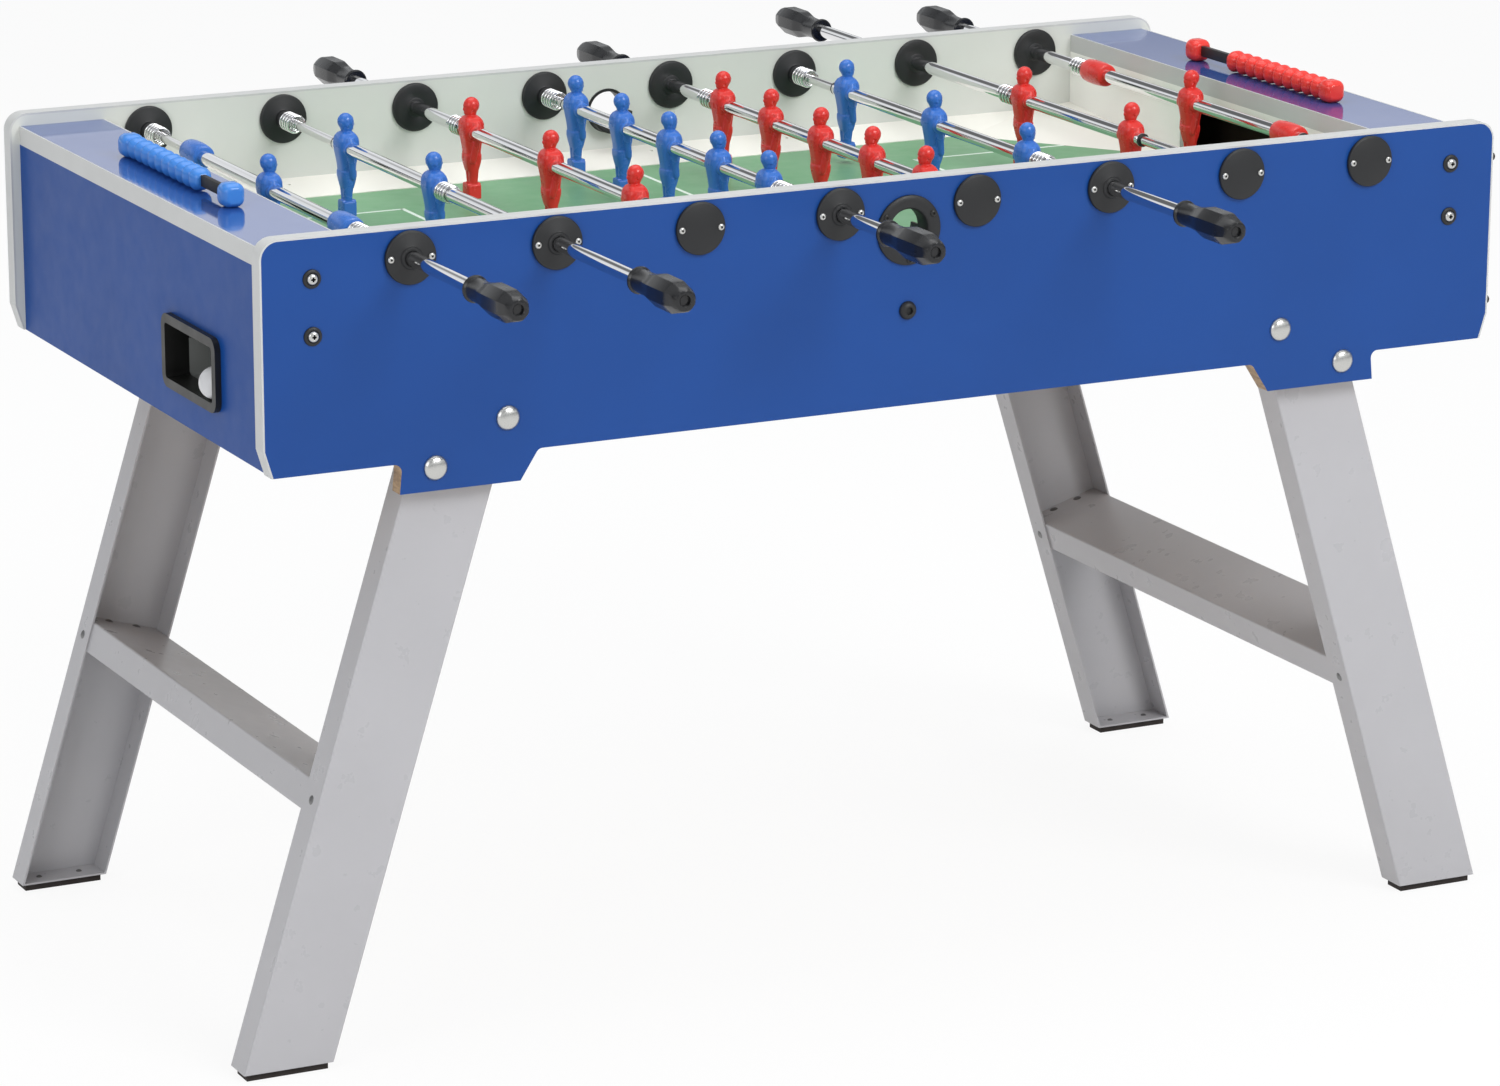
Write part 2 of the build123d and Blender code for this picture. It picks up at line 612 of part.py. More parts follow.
def strip_screw_shank(x, grow=0):
    """A screw's shank from inside the field up to the front strip's slope, or the hole for it."""
    share = (STRIP_WIDTH - STRIP_SCREW_INSET) / STRIP_WIDTH
    rise = STRIP_LIP + (STRIP_RISE - STRIP_LIP) * share
    low = FIELD - STRIP_SCREW_SINK - grow
    high = FIELD + rise + (CUT_MARGIN if grow else 0)
    return Pos(x, STRIP_SCREW_INSET - SIDE, (low + high) / 2) * Cylinder(SCREW_RADIUS + grow, high - low)


def strip_screw(x):
    """A small domed screw that holds the front strip down."""
    shank = strip_screw_shank(x)
    tilt = degrees(atan((STRIP_RISE - STRIP_LIP) / STRIP_WIDTH))
    top = shank.bounding_box().max.Z
    place = Pos(x, STRIP_SCREW_INSET - SIDE, top) * Rot(-tilt, 0, 0)
    return shank + place * dome(STRIP_SCREW_HEAD, STRIP_SCREW_HEAD_HEIGHT)


def field_bolt_height():
    return ROD_HEIGHT - FIELD_BOLT_BELOW_ROD


def bolt_tip():
    return BLOCK_DEPTH / 2 - SIDE


def corner_bolt_places():
    return [(side * CORNER_BOLT_X, ROD_HEIGHT - drop) for side in (-1, 1) for drop in CORNER_BOLTS_BELOW_ROD]


def corner_bolt(x, z):
    """A cup washer on the front panel and the button-head bolt in it."""
    washer = Pos(x, -FACE, z) * Rot(90, 0, 0) * dome(CUP_RADIUS, CUP_HEIGHT)
    flat = CUP_HEIGHT - CUP_FLAT
    washer = washer & round_y(CUP_RADIUS, -FACE - flat, -FACE, x, z)
    washer -= round_y(BOLT_RADIUS + FIT_GAP, -FACE - CUP_HEIGHT, -FACE + CUT_MARGIN, x, z)
    bolt = round_y(BOLT_RADIUS, -FACE - flat, bolt_tip(), x, z)
    bolt += Pos(x, -FACE - flat, z) * Rot(90, 0, 0) * dome(BUTTON_RADIUS, BUTTON_HEIGHT)
    return [washer, bolt]


def field_bolt():
    """The black bolt that holds the field's edge to the front panel."""
    z = field_bolt_height()
    bolt = round_y(BOLT_RADIUS, -FACE, bolt_tip(), 0, z)
    bolt += Pos(0, -FACE, z) * Rot(90, 0, 0) * dome(CUP_RADIUS, FIELD_BOLT_HEAD)
    return bolt - round_y(BOLT_RADIUS, -FACE - FIELD_BOLT_HEAD - CUT_MARGIN, -FACE - FIELD_BOLT_HEAD / 2, 0, z)


def buffer(side, z):
    """A rubber buffer on the end of a side panel's edge band."""
    return Pos(PANEL_LENGTH / 2, side * (SIDE + FACE) / 2, z) * Rot(0, 90, 0) * dome(BUFFER_RADIUS, BUFFER_HEIGHT)


def buffers():
    return [buffer(side, ROD_HEIGHT - drop) for side in (-1, 1) for drop in BUFFERS_BELOW_ROD]


# ---------------------------------------------------------------- legs

def leg_bolt_places():
    return [(side * (LEG_X + out), PANEL_BOTTOM + rise) for side in (-1, 1) for out, rise in LEG_BOLTS]


def leg_outline(inset, low, high):
    """The slanted outline of the right-hand leg, inset on its two long sides."""
    half = (LEG_WIDTH / 2 - inset) / cos(radians(LEG_SPLAY))
    middle_low = LEG_X + SLOPE * (PANEL_BOTTOM - low)
    middle_high = LEG_X + SLOPE * (PANEL_BOTTOM - high)
    return Polygon((middle_low - half, low), (middle_low + half, low), (middle_high + half, high),
                   (middle_high - half, high), align=None)


def leg():
    """The front right leg: a channel of folded sheet, open towards the table's middle."""
    low, high = PAD_HEIGHT, PANEL_BOTTOM + LEG_INSIDE
    back = -SIDE + LEG_DEPTH
    channel = upright(leg_outline(0, low, high), -SIDE, back)
    channel = fillet([edge for edge in channel.edges() if is_fold(edge, high - low)], LEG_SHEET)
    hollow = leg_outline(LEG_SHEET, low + LEG_SHEET, high + CUT_MARGIN)
    channel -= upright(hollow, -SIDE + LEG_SHEET, back + CUT_MARGIN)
    for x, z in leg_bolt_places():
        outside, inside = -SIDE - CUT_MARGIN, -SIDE + LEG_SHEET + CUT_MARGIN
        channel -= round_y(LEG_BOLT_RADIUS + FIT_GAP, outside, inside, x, z)
    for hole in crossbar_side_screws(FIT_GAP):
        channel -= hole
    return channel - pad_screw(FIT_GAP)


def is_fold(edge, rise):
    """True for the two long edges on the leg's outer face."""
    box = edge.bounding_box()
    return box.max.Y < -SIDE + LEG_SHEET and box.size.Z > rise - LEG_SHEET


def foot_middle():
    return LEG_X + SLOPE * (PANEL_BOTTOM - PAD_HEIGHT)


def foot_pad():
    half = LEG_WIDTH / 2 / cos(radians(LEG_SPLAY)) - PAD_INSET
    x = foot_middle()
    pad = block(x - half, x + half, -SIDE + PAD_INSET, -SIDE + LEG_DEPTH - PAD_INSET, 0, PAD_HEIGHT)
    return pad - pad_screw(FIT_GAP)


def pad_screw(grow=0):
    """The screws that hold the pad under the leg."""
    y = -SIDE + LEG_DEPTH / 2
    shanks = []
    for side in (-1, 1):
        place = Pos(foot_middle() + side * LEG_WIDTH / 4, y, PAD_HEIGHT + LEG_SHEET)
        shanks.append(place * Pos(0, 0, -LEG_SHEET) * Cylinder(SCREW_RADIUS + grow, 2 * LEG_SHEET))
    return shanks


def pad_screws():
    y = -SIDE + LEG_DEPTH / 2
    screws = []
    for side, shank in zip((-1, 1), pad_screw()):
        place = Pos(foot_middle() + side * LEG_WIDTH / 4, y, PAD_HEIGHT + LEG_SHEET)
        screws.append(shank + place * dome(SCREW_HEAD_RADIUS, SCREW_HEAD_HEIGHT))
    return screws


def leg_bolt(x, z):
    """A domed carriage bolt through the panel and the leg, with its nut."""
    inside = -SIDE + LEG_SHEET
    bolt = round_y(LEG_BOLT_RADIUS, -FACE, inside + NUT_HEIGHT, x, z)
    bolt += Pos(x, -FACE, z) * Rot(90, 0, 0) * dome(DOME_RADIUS, DOME_HEIGHT)
    nut = extrude(RegularPolygon(NUT_RADIUS, NUT_SIDES), NUT_HEIGHT)
    nut = Pos(x, inside + NUT_HEIGHT, z) * Rot(90, 0, 0) * nut
    start, end = inside - CUT_MARGIN, inside + NUT_HEIGHT + CUT_MARGIN
    return [bolt, nut - round_y(LEG_BOLT_RADIUS + FIT_GAP, start, end, x, z)]


def at_crossbar():
    """The crossbar's own frame: z along the right-hand legs, its top face at zero."""
    middle = LEG_X + SLOPE * (PANEL_BOTTOM - CROSSBAR_HEIGHT)
    return Pos(middle, 0, CROSSBAR_HEIGHT) * Rot(0, -LEG_SPLAY, 0)


def crossbar_half():
    return LEG_WIDTH / 2 - LEG_SHEET - FIT_GAP


def crossbar():
    """The channel between the right-hand legs, open below."""
    half, end = crossbar_half(), SIDE - LEG_SHEET - FIT_GAP
    bar = block(-half, half, -end, end, -CROSSBAR_FLANGE, 0)
    bar = fillet(bar.edges().filter_by(Axis.Y).group_by(Axis.Z)[-1], LEG_SHEET)
    inside, past = half - LEG_SHEET, end + CUT_MARGIN
    bar -= block(-inside, inside, -past, past, -CROSSBAR_FLANGE - CUT_MARGIN, -LEG_SHEET)
    bar = at_crossbar() * bar
    for hole in crossbar_side_screws(FIT_GAP) + crossbar_top_screws(FIT_GAP, 0):
        bar -= hole
        bar -= mirror(hole, Plane.XZ)
    return bar


def crossbar_side_screws(grow, head=0):
    """Screws through the leg's two flanges into the crossbar's, at the front leg."""
    y = -SIDE + LEG_DEPTH / 2
    outside = LEG_WIDTH / 2
    inside = outside - 3 * LEG_SHEET
    screws = []
    for side in (-1, 1):
        place = at_crossbar() * Pos(side * (outside + inside) / 2, y, -FRAME_SCREW_DROP) * Rot(0, side * 90, 0)
        screw = place * Cylinder(FRAME_SCREW_RADIUS + grow, outside - inside)
        if head:
            screw += place * Pos(0, 0, (outside - inside) / 2) * dome(FRAME_SCREW_HEAD, head)
        screws.append(screw)
    return screws


def crossbar_top_screws(grow, head):
    """Two screws through the crossbar's top sheet beside the front leg."""
    y = -SIDE + LEG_SHEET + TOP_SCREW_INSET
    screws = []
    for side in (-1, 1):
        place = at_crossbar() * Pos(side * TOP_SCREW_SPACING / 2, y, 0)
        screw = place * Pos(0, 0, -LEG_SHEET) * Cylinder(FRAME_SCREW_RADIUS + grow, 2 * LEG_SHEET)
        if head:
            screw += place * dome(FRAME_SCREW_HEAD, head)
        screws.append(screw)
    return screws


# ---------------------------------------------------------------- rods and players

def spring(radius, length, turns):
    """A coil along Z from zero, wound from round wire; its ends stop short of its length."""
    path = Helix(pitch=(length - 2 * WIRE_RADIUS) / turns, height=length - 2 * WIRE_RADIUS, radius=radius)
    section = Plane(origin=path @ 0, z_dir=path % 0) * Circle(WIRE_RADIUS)
    return Pos(0, 0, WIRE_RADIUS) * sweep(section, path=path, is_frenet=True)


def last_side(kind):
    """From the middle of the players to the outermost face that can meet a spring."""
    if kind == GOALIE:
        return SPREAD[kind] / 2 + RING_LENGTH / 2
    return SPREAD[kind] / 2 + PLAYER_WIDTH / 2


def pull_travel(kind):
    """How far a centred rod can be pulled out before its spring meets the near disc."""
    return DISC_IN - last_side(kind) - NEAR_SPRING_LENGTH - 2 * SEAT_GAP


def at_rod(kind):
    """The blue rod's own frame: Y along the rod, handle towards -Y."""
    return Pos(ROD_PLACE[kind] * ROD_PITCH, 0, ROD_HEIGHT)


def inner_rod(kind):
    """The thin rod that only turns: its head is held in the far wall, its guide slides in the tube."""
    tube_end = last_side(kind) + TUBE_TAIL + BUSH_FLANGE
    free_end = tube_end - pull_travel(kind) - ROD_OVERLAP
    rod = round_y(ROD_RADIUS, free_end, SIDE + SEAT_GAP + ROD_HEAD_LENGTH)
    rod += round_y(ROD_HEAD_RADIUS, SIDE + SEAT_GAP, SIDE + SEAT_GAP + ROD_HEAD_LENGTH)
    rod += round_y(TUBE_BORE - RUNNING_GAP, free_end, free_end + GUIDE_LENGTH)
    coil = spring(FAR_SPRING_RADIUS, FAR_SPRING_LENGTH, FAR_SPRING_TURNS)
    coil = Pos(0, FAR_SPRING_SEAT - SEAT_GAP, 0) * Rot(90, 0, 0) * coil
    return [rod, coil]


def tube(kind, pushed):
    """The sliding tube with its end bush and the spring beside the player next to the handle."""
    far_end = pushed + last_side(kind) + TUBE_TAIL
    near_end = pushed - COLLAR_OFFSET[kind] - HANDLE_BORE
    pipe = round_y(TUBE_RADIUS, near_end, far_end)
    pipe -= round_y(TUBE_BORE, near_end - CUT_MARGIN, far_end + CUT_MARGIN)
    bush = round_y(TUBE_RADIUS, far_end, far_end + BUSH_FLANGE)
    bush += round_y(TUBE_BORE - FIT_GAP, far_end - BUSH_PLUG, far_end)
    plug_end, flange_end = far_end - BUSH_PLUG - CUT_MARGIN, far_end + BUSH_FLANGE + CUT_MARGIN
    bush -= round_y(ROD_RADIUS + RUNNING_GAP, plug_end, flange_end)
    coil = spring(NEAR_SPRING_RADIUS, NEAR_SPRING_LENGTH, NEAR_SPRING_TURNS)
    coil = Pos(0, pushed - last_side(kind) - SEAT_GAP, 0) * Rot(90, 0, 0) * coil
    return [pipe, bush, coil]


def head():
    """A round head, a little taller than it is wide."""
    rise = HEAD_HEIGHT / 2 - HEAD_RADIUS
    middle = Cylinder(HEAD_RADIUS, 2 * rise)
    return middle + Pos(0, 0, rise) * Sphere(HEAD_RADIUS) + Pos(0, 0, -rise) * Sphere(HEAD_RADIUS)


def player():
    """A player facing +X, with arms at the sides, legs together and a block foot."""
    half, deep = PLAYER_WIDTH / 2, PLAYER_DEPTH / 2
    ankle = FOOT_HEIGHT - FOOT_DROP
    right = [(ANKLE_WIDTH / 2, ankle), (HIP_WIDTH / 2, -HIP_DROP), (half, -WAIST_DROP / 2),
             (half, SHOULDER_EDGE), (half - SHOULDER_CUT, SHOULDER_EDGE + SHOULDER_RISE),
             (COLLAR_WIDTH / 2, SHOULDER_TOP)]
    ahead = [(ANKLE_DEPTH / 2, ankle), (HIP_DEPTH / 2, -HIP_DROP), (HIP_DEPTH / 2, -WAIST_DROP),
             (deep, -WAIST_DROP / 4), (deep, SHOULDER_EDGE), (COLLAR_WIDTH / 2, SHOULDER_TOP)]
    front = Polygon(*right, *[(-y, z) for y, z in reversed(right)], align=None)
    side = Polygon(*ahead, *[(-x, z) for x, z in reversed(ahead)], align=None)
    body = endwise(front, -deep, deep) & upright(side, -half, half)
    body += Pos(0, 0, HEAD_TOP - HEAD_HEIGHT / 2) * head()
    body += Pos(0, 0, SHOULDER_TOP) * Cylinder(THROAT_RADIUS, 2 * (SHOULDER_TOP - TUBE_RADIUS - FIT_GAP))
    foot = Pos(0, 0, FOOT_HEIGHT / 2 - FOOT_DROP) * Box(FOOT_DEPTH, FOOT_WIDTH, FOOT_HEIGHT)
    body += fillet(foot.edges(), FOOT_ROUND)
    return body - round_y(TUBE_RADIUS + FIT_GAP, -PLAYER_WIDTH, PLAYER_WIDTH)


def stop_ring():
    """A barrel-shaped ring beside the goalkeeper."""
    half = RING_LENGTH / 2
    shoulder = RING_RADIUS - RING_CHAMFER
    outline = Polygon((0, -half), (shoulder, -half), (RING_RADIUS, -half / 2), (RING_RADIUS, half / 2),
                      (shoulder, half), (0, half), align=None)
    ring = revolve(outline, Axis.Y)
    return ring - round_y(TUBE_RADIUS + FIT_GAP, -RING_LENGTH, RING_LENGTH)


def players(kind, pushed, figure, ring):
    count, spacing = PLAYERS[kind], SPACING[kind]
    team = [Pos(0, pushed + (index - (count - 1) / 2) * spacing, 0) * figure for index in range(count)]
    if kind == GOALIE:
        team += [Pos(0, pushed + side * SPREAD[kind] / 2, 0) * ring for side in (-1, 1)]
    return team


def octagon(radius, at):
    return Pos(0, 0, at) * RegularPolygon(radius, GRIP_SIDES)


def handle():
    """The grip, with its collar at y = 0 and its end towards -Y."""
    flare_end, barrel_end = NECK_LENGTH + FLARE_LENGTH, HANDLE_LENGTH - GRIP_END_LENGTH
    collar = Pos(0, 0, COLLAR_LENGTH / 2) * Cylinder(COLLAR_RADIUS, COLLAR_LENGTH)
    collar = fillet(collar.edges(), COLLAR_ROUND)
    grip = collar + Pos(0, 0, NECK_LENGTH / 2) * Cylinder(NECK_RADIUS, NECK_LENGTH)
    stations = [(NECK_RADIUS, NECK_LENGTH), (GRIP_RADIUS, flare_end), (GRIP_RADIUS, barrel_end),
                (GRIP_END_RADIUS, HANDLE_LENGTH)]
    for start, end in zip(stations, stations[1:]):
        grip += loft([octagon(*start), octagon(*end)], ruled=True)
    grip -= Pos(0, 0, (HANDLE_BORE + FIT_GAP) / 2) * Cylinder(TUBE_RADIUS + FIT_GAP, HANDLE_BORE + FIT_GAP)
    grip -= Pos(0, 0, HANDLE_LENGTH) * Cylinder(RECESS_RADIUS, 2 * RECESS_DEPTH)
    return Rot(90, 0, 0) * grip


# ---------------------------------------------------------------- goal counters

def counter_bar(grow=0):
    """The left-hand counter's bar, or with a gap added the slot for it."""
    half = COUNTER_SPAN / 2 + COUNTER_SOCKET + grow
    wide, tall = COUNTER_BAR_WIDTH / 2 + grow, COUNTER_BAR_HEIGHT / 2 + grow
    return block(-COUNTER_X - wide, -COUNTER_X + wide, -half, half, BEAD_HEIGHT - tall, BEAD_HEIGHT + tall)


def counter_rail():
    """The left-hand counter's bar, set in its two end blocks."""
    pieces = [counter_bar()]
    for side in (-1, 1):
        y = side * (COUNTER_SPAN + COUNTER_BLOCK) / 2
        end = Box(COUNTER_BLOCK, COUNTER_BLOCK, COUNTER_BLOCK)
        end = Pos(-COUNTER_X, y, TOP_BOARD_TOP + COUNTER_BLOCK / 2) * fillet(end.edges(), COUNTER_ROUND)
        pieces.append(end - counter_bar(FIT_GAP))
    return pieces


def bead():
    """One counter bead: a short square block with its corners well rounded."""
    outline = RectangleRounded(BEAD_SIZE, BEAD_SIZE, BEAD_CORNER)
    blank = Rot(90, 0, 0) * extrude(outline, BEAD_LENGTH / 2, both=True)
    ends = blank.faces().group_by(Axis.Y)
    blank = fillet(ends[0].edges() + ends[-1].edges(), BEAD_ROUND)
    grow = 2 * BEAD_SLOT_GAP
    return blank - Box(COUNTER_BAR_WIDTH + grow, 2 * BEAD_LENGTH, COUNTER_BAR_HEIGHT + grow)


def counter_beads():
    """The left-hand counter's beads, pushed to the far end of their bar."""
    shape = bead()
    step = BEAD_LENGTH + BEAD_GAP
    first = COUNTER_SPAN / 2 - SEAT_GAP - BEAD_LENGTH / 2
    return [Pos(-COUNTER_X, first - index * step, BEAD_HEIGHT) * shape for index in range(BEAD_COUNT)]


# ---------------------------------------------------------------- the table

def build_cabinet():
    save("front_panel", side_panel())
    save("back_panel", HALF_TURN * side_panel())
    save("left_end_panel", left_end_panel())
    save("right_end_panel", end_board())
    save("end_top_boards", both_ends(top_board()))
    bands = both_turned([side_band()])
    for band in top_bands():
        bands += both_ends(band)
    save("edge_bands", bands)
    save("goal_walls", both_ends(goal_wall()))
    save("wooden_blocks", both_turned(both_ends(corner_block()) + [field_batten()]))
    save("cabinet_floor", cabinet_floor())


def build_playfield():
    save("playfield", playfield())
    strip = side_strip()
    ramps = both_ends(corner_ramp())
    save("field_ramps", both_turned([strip] + ramps))
    save("ball_channels", [ball_channel()] + both_ends(goal_chute()))
    save("ball_return_frame", return_frame())
    save("ball", ball())


def build_fittings():
    discs, screws = [], []
    for kind, place in ROD_PLACE.items():
        x = place * ROD_PITCH
        discs += tube_bearing(x) + rod_bearing(-x)
        for disc_x in (x, -x):
            for screw_x in (disc_x - DISC_SCREW_OFFSET, disc_x + DISC_SCREW_OFFSET):
                screws.append(panel_screw(screw_x, ROD_HEIGHT, -DISC_OUT, DISC_SCREW_TIP))
    seat = -FACE - ENTRY_FLANGE
    screws += [panel_screw(x, z, seat, ENTRY_SCREW_TIP) for x, z in entry_screw_places()]
    screws += [strip_screw(x) for x in STRIP_SCREW_PLACES]
    save("rod_discs", both_turned(discs))
    save("ball_entry_rings", both_turned([entry_ring()]))
    save("panel_screws", both_turned(screws))
    corner_bolts = [piece for x, z in corner_bolt_places() for piece in corner_bolt(x, z)]
    bolts = both_turned(corner_bolts + [field_bolt()])
    save("panel_bolts", bolts)


def build_legs():
    front_right = leg()
    front_left = mirrored_x(front_right)
    save("front_right_leg", front_right)
    save("front_left_leg", front_left)
    save("back_left_leg", HALF_TURN * front_right)
    save("back_right_leg", HALF_TURN * front_left)
    save("crossbars", both_ends(crossbar()))
    save("foot_pads", both_turned(both_ends(foot_pad())) + buffers())
    fasteners = crossbar_side_screws(0, SCREW_HEAD_HEIGHT) + crossbar_top_screws(0, SCREW_HEAD_HEIGHT)
    fasteners += pad_screws()
    fasteners = fasteners + [mirrored_x(piece) for piece in fasteners]
    for x, z in leg_bolt_places():
        fasteners += leg_bolt(x, z)
    save("frame_bolts", both_turned(fasteners))


def build_rods():
    figure, ring, grip = player(), stop_ring(), handle()
    for team, kind in RODS:
        pushed = PUSHED_IN[team, kind]
        place = at_rod(kind) if team == "blue" else HALF_TURN * at_rod(kind)
        name = team + "_" + kind
        save(name + "_inner_rod", [place * part for part in inner_rod(kind)])
        save(name + "_tube", [place * part for part in tube(kind, pushed)])
        save(name + "_players", [place * part for part in players(kind, pushed, figure, ring)])
        save(name + "_handle", place * Pos(0, pushed - COLLAR_OFFSET[kind], 0) * grip)


def build_counters():
    save("counter_rails", both_turned(counter_rail()))
    beads = counter_beads()
    save("left_counter_beads", beads)
    save("right_counter_beads", [HALF_TURN * part for part in beads])


os.makedirs("parts", exist_ok=True)
build_cabinet()
build_playfield()
build_fittings()
build_legs()
build_rods()
build_counters()
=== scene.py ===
import json
import math
import bmesh
import bpy
from mathutils import Euler, Matrix, Vector


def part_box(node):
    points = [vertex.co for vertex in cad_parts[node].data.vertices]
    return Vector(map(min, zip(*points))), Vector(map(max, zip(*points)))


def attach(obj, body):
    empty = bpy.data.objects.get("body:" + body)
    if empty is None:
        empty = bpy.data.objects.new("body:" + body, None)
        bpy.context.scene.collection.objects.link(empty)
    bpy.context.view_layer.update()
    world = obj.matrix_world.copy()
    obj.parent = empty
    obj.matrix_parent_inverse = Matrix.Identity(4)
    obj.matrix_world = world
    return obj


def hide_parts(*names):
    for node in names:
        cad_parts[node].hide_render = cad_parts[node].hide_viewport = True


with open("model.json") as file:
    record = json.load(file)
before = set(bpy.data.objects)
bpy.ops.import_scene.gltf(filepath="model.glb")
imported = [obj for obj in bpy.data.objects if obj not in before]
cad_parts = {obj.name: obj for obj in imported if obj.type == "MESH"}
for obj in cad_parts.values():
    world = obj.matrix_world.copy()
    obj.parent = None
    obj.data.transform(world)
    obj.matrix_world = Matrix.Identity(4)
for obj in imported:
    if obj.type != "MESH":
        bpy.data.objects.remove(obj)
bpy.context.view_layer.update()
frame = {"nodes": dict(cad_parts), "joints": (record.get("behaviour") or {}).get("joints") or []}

# The look of a foosball table. Pieces are drawn in mm and set down in metres, in the CAD's own frame.

MM = 0.001
TEAMS = ("blue", "red")
PLAYERS_ON = {"goalie": 1, "two": 2, "five": 5, "three": 3}
JOINTS = {joint["name"]: joint for joint in frame["joints"]}
ACROSS = Vector((1, 0, 0))
ALONG = Vector((0, 1, 0))
UP = Vector((0, 0, 1))

# Faces of the cabinet, in metres
PANEL_NEAR, PANEL_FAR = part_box("front_panel")
END_NEAR, END_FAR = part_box("right_end_panel")
OUTER_FACE = -PANEL_NEAR.y
INNER_FACE = -PANEL_FAR.y
ROD_Z = JOINTS["blue_goalie_spin"]["pos_m"][2]

# Rods, in mm
ROD_RADIUS = 5.2
TUBE_RADIUS = 7.5
TUBE_BORE = 6.3
BUSH_FLANGE = 3
SEAT_GAP = 0.3          # between pieces that only rest against each other
HUB_END = 12.3          # from the side panel's inner face to where a far spring starts
FAR_COIL = {"radius": 9.6, "length": 31}
NEAR_COIL = {"radius": 9.1, "length": 30}
COIL_TURNS = 4
WIRE_RADIUS = 1.45

# Players, in mm, with heights from the rod's axis
FIGURE_WIDTH = 35
SQUARENESS = 0.55       # 1 gives an ellipse, 0 a rectangle
PLAYER_BORE = 6.9       # between the tube's bore and its outside
FOOT_DROP = 75
STOP_HALF = 22

# Discs and fasteners, in mm
DISC_RADIUS = 27.5
DISC_FACE = 4.9         # the plane under a disc screw's head
DISC_SCREW_SPREAD = 22
CORNER_BOLT_X = 665
CORNER_BOLT_DROPS = (12, 70)
FIELD_BOLT_DROP = 109
BUFFER_DROPS = (11, 170)
LEG_BOLTS = ((535, -7.5), (455, 35.5))      # from the middle, and above the panel's lower edge

# Ball entries, in mm
ENTRY_RADIUS = 22
ENTRY_RAMP_RADIUS = 22.6
ENTRY_SCREW_REACH = 31.5
ENTRY_SCREW_ANGLES = (30, 150, 270)

# Goal counters, in mm
BEAD_COUNT = 10
BEAD_SIZE = (24.4, 19.8, 24.4)
END_BLOCK = 25
END_BLOCK_Y = 144.5
BAR_SIZE = (6, 12)
BAR_HALF_LENGTH = 136

# Printed lines, in mm
LINE_WIDTH = 5
LINE_LIFT = 0.15        # above the field
MIDDLE_LINE_REACH = 307
AREA_X = (320, 516)     # the goal area's front line and its back end
AREA_Y = 205

# Camera, in metres and radians
CAMERA_PLACE = (-2.6932, -5.4015, 2.0303)
CAMERA_TILT_DOWN = 0.2846
CAMERA_TURN = -0.4510


# ---------------------------------------------------------------- materials

def new_material(name):
    material = bpy.data.materials.new(name)
    material.use_nodes = True
    shader = material.node_tree.nodes["Principled BSDF"]
    return material, material.node_tree, shader


def add_node(tree, kind, **inputs):
    node = tree.nodes.new(kind)
    for key, value in inputs.items():
        node.inputs[key.replace("_", " ")].default_value = value
    return node


def coordinates(tree, scale=(1, 1, 1)):
    """Object coordinates, which are table coordinates in metres."""
    source = tree.nodes.new("ShaderNodeTexCoord")
    mapping = add_node(tree, "ShaderNodeMapping", Scale=scale)
    tree.links.new(source.outputs["Object"], mapping.inputs["Vector"])
    return mapping.outputs["Vector"]


def noise(tree, vector, scale, detail=4.0, roughness=0.55):
    node = add_node(tree, "ShaderNodeTexNoise", Scale=scale, Detail=detail, Roughness=roughness)
    tree.links.new(vector, node.inputs["Vector"])
    return node.outputs["Fac"]


def spread(tree, value, low, high):
    """Maps a 0 to 1 noise onto a range."""
    node = add_node(tree, "ShaderNodeMapRange", From_Min=0.3, From_Max=0.7, To_Min=low, To_Max=high)
    tree.links.new(value, node.inputs["Value"])
    return node.outputs["Result"]


def two_tone(tree, value, dark, light):
    ramp = tree.nodes.new("ShaderNodeValToRGB")
    ramp.color_ramp.elements[0].position = 0.35
    ramp.color_ramp.elements[1].position = 0.65
    ramp.color_ramp.elements[0].color = (*dark, 1)
    ramp.color_ramp.elements[1].color = (*light, 1)
    tree.links.new(value, ramp.inputs["Fac"])
    return ramp.outputs["Color"]


def add_bump(tree, shader, value, distance):
    node = add_node(tree, "ShaderNodeBump", Strength=1.0, Distance=distance)
    tree.links.new(value, node.inputs["Height"])
    tree.links.new(node.outputs["Normal"], shader.inputs["Normal"])


def tone(colour, factor):
    return tuple(min(1.0, channel * factor) for channel in colour)


def srgb(red, green, blue):
    """Linear colour from 0-255 screen values."""
    def linear(value):
        value /= 255
        return value / 12.92 if value <= 0.04045 else ((value + 0.055) / 1.055) ** 2.4
    return linear(red), linear(green), linear(blue)


def moulded(name, colour, roughness, grain, depth, vary, coat=0.0, specular=0.5):
    """A surface with a fine grain, a slow change of tone and an uneven gloss."""
    material, tree, shader = new_material(name)
    vector = coordinates(tree)
    slow = noise(tree, vector, 6, 3)
    fine = noise(tree, vector, grain, 2)
    colours = two_tone(tree, slow, tone(colour, 1 - vary), tone(colour, 1 + vary))
    tree.links.new(colours, shader.inputs["Base Color"])
    gloss = spread(tree, noise(tree, vector, 40, 5), roughness * 0.88, min(1, roughness * 1.12))
    tree.links.new(gloss, shader.inputs["Roughness"])
    shader.inputs["Specular IOR Level"].default_value = specular
    shader.inputs["Coat Weight"].default_value = coat
    shader.inputs["Coat Roughness"].default_value = 0.06
    add_bump(tree, shader, fine, depth)
    return material


def polished(name, colour, roughness):
    """Bright metal with faint lengthwise polishing marks."""
    material, tree, shader = new_material(name)
    vector = coordinates(tree, (1500, 12, 1500))
    marks = noise(tree, vector, 1.0, 3)
    gloss = spread(tree, marks, roughness * 0.7, roughness * 1.3)
    tree.links.new(gloss, shader.inputs["Roughness"])
    tint = two_tone(tree, marks, tone(colour, 0.96), colour)
    tree.links.new(tint, shader.inputs["Base Color"])
    shader.inputs["Metallic"].default_value = 1.0
    return material


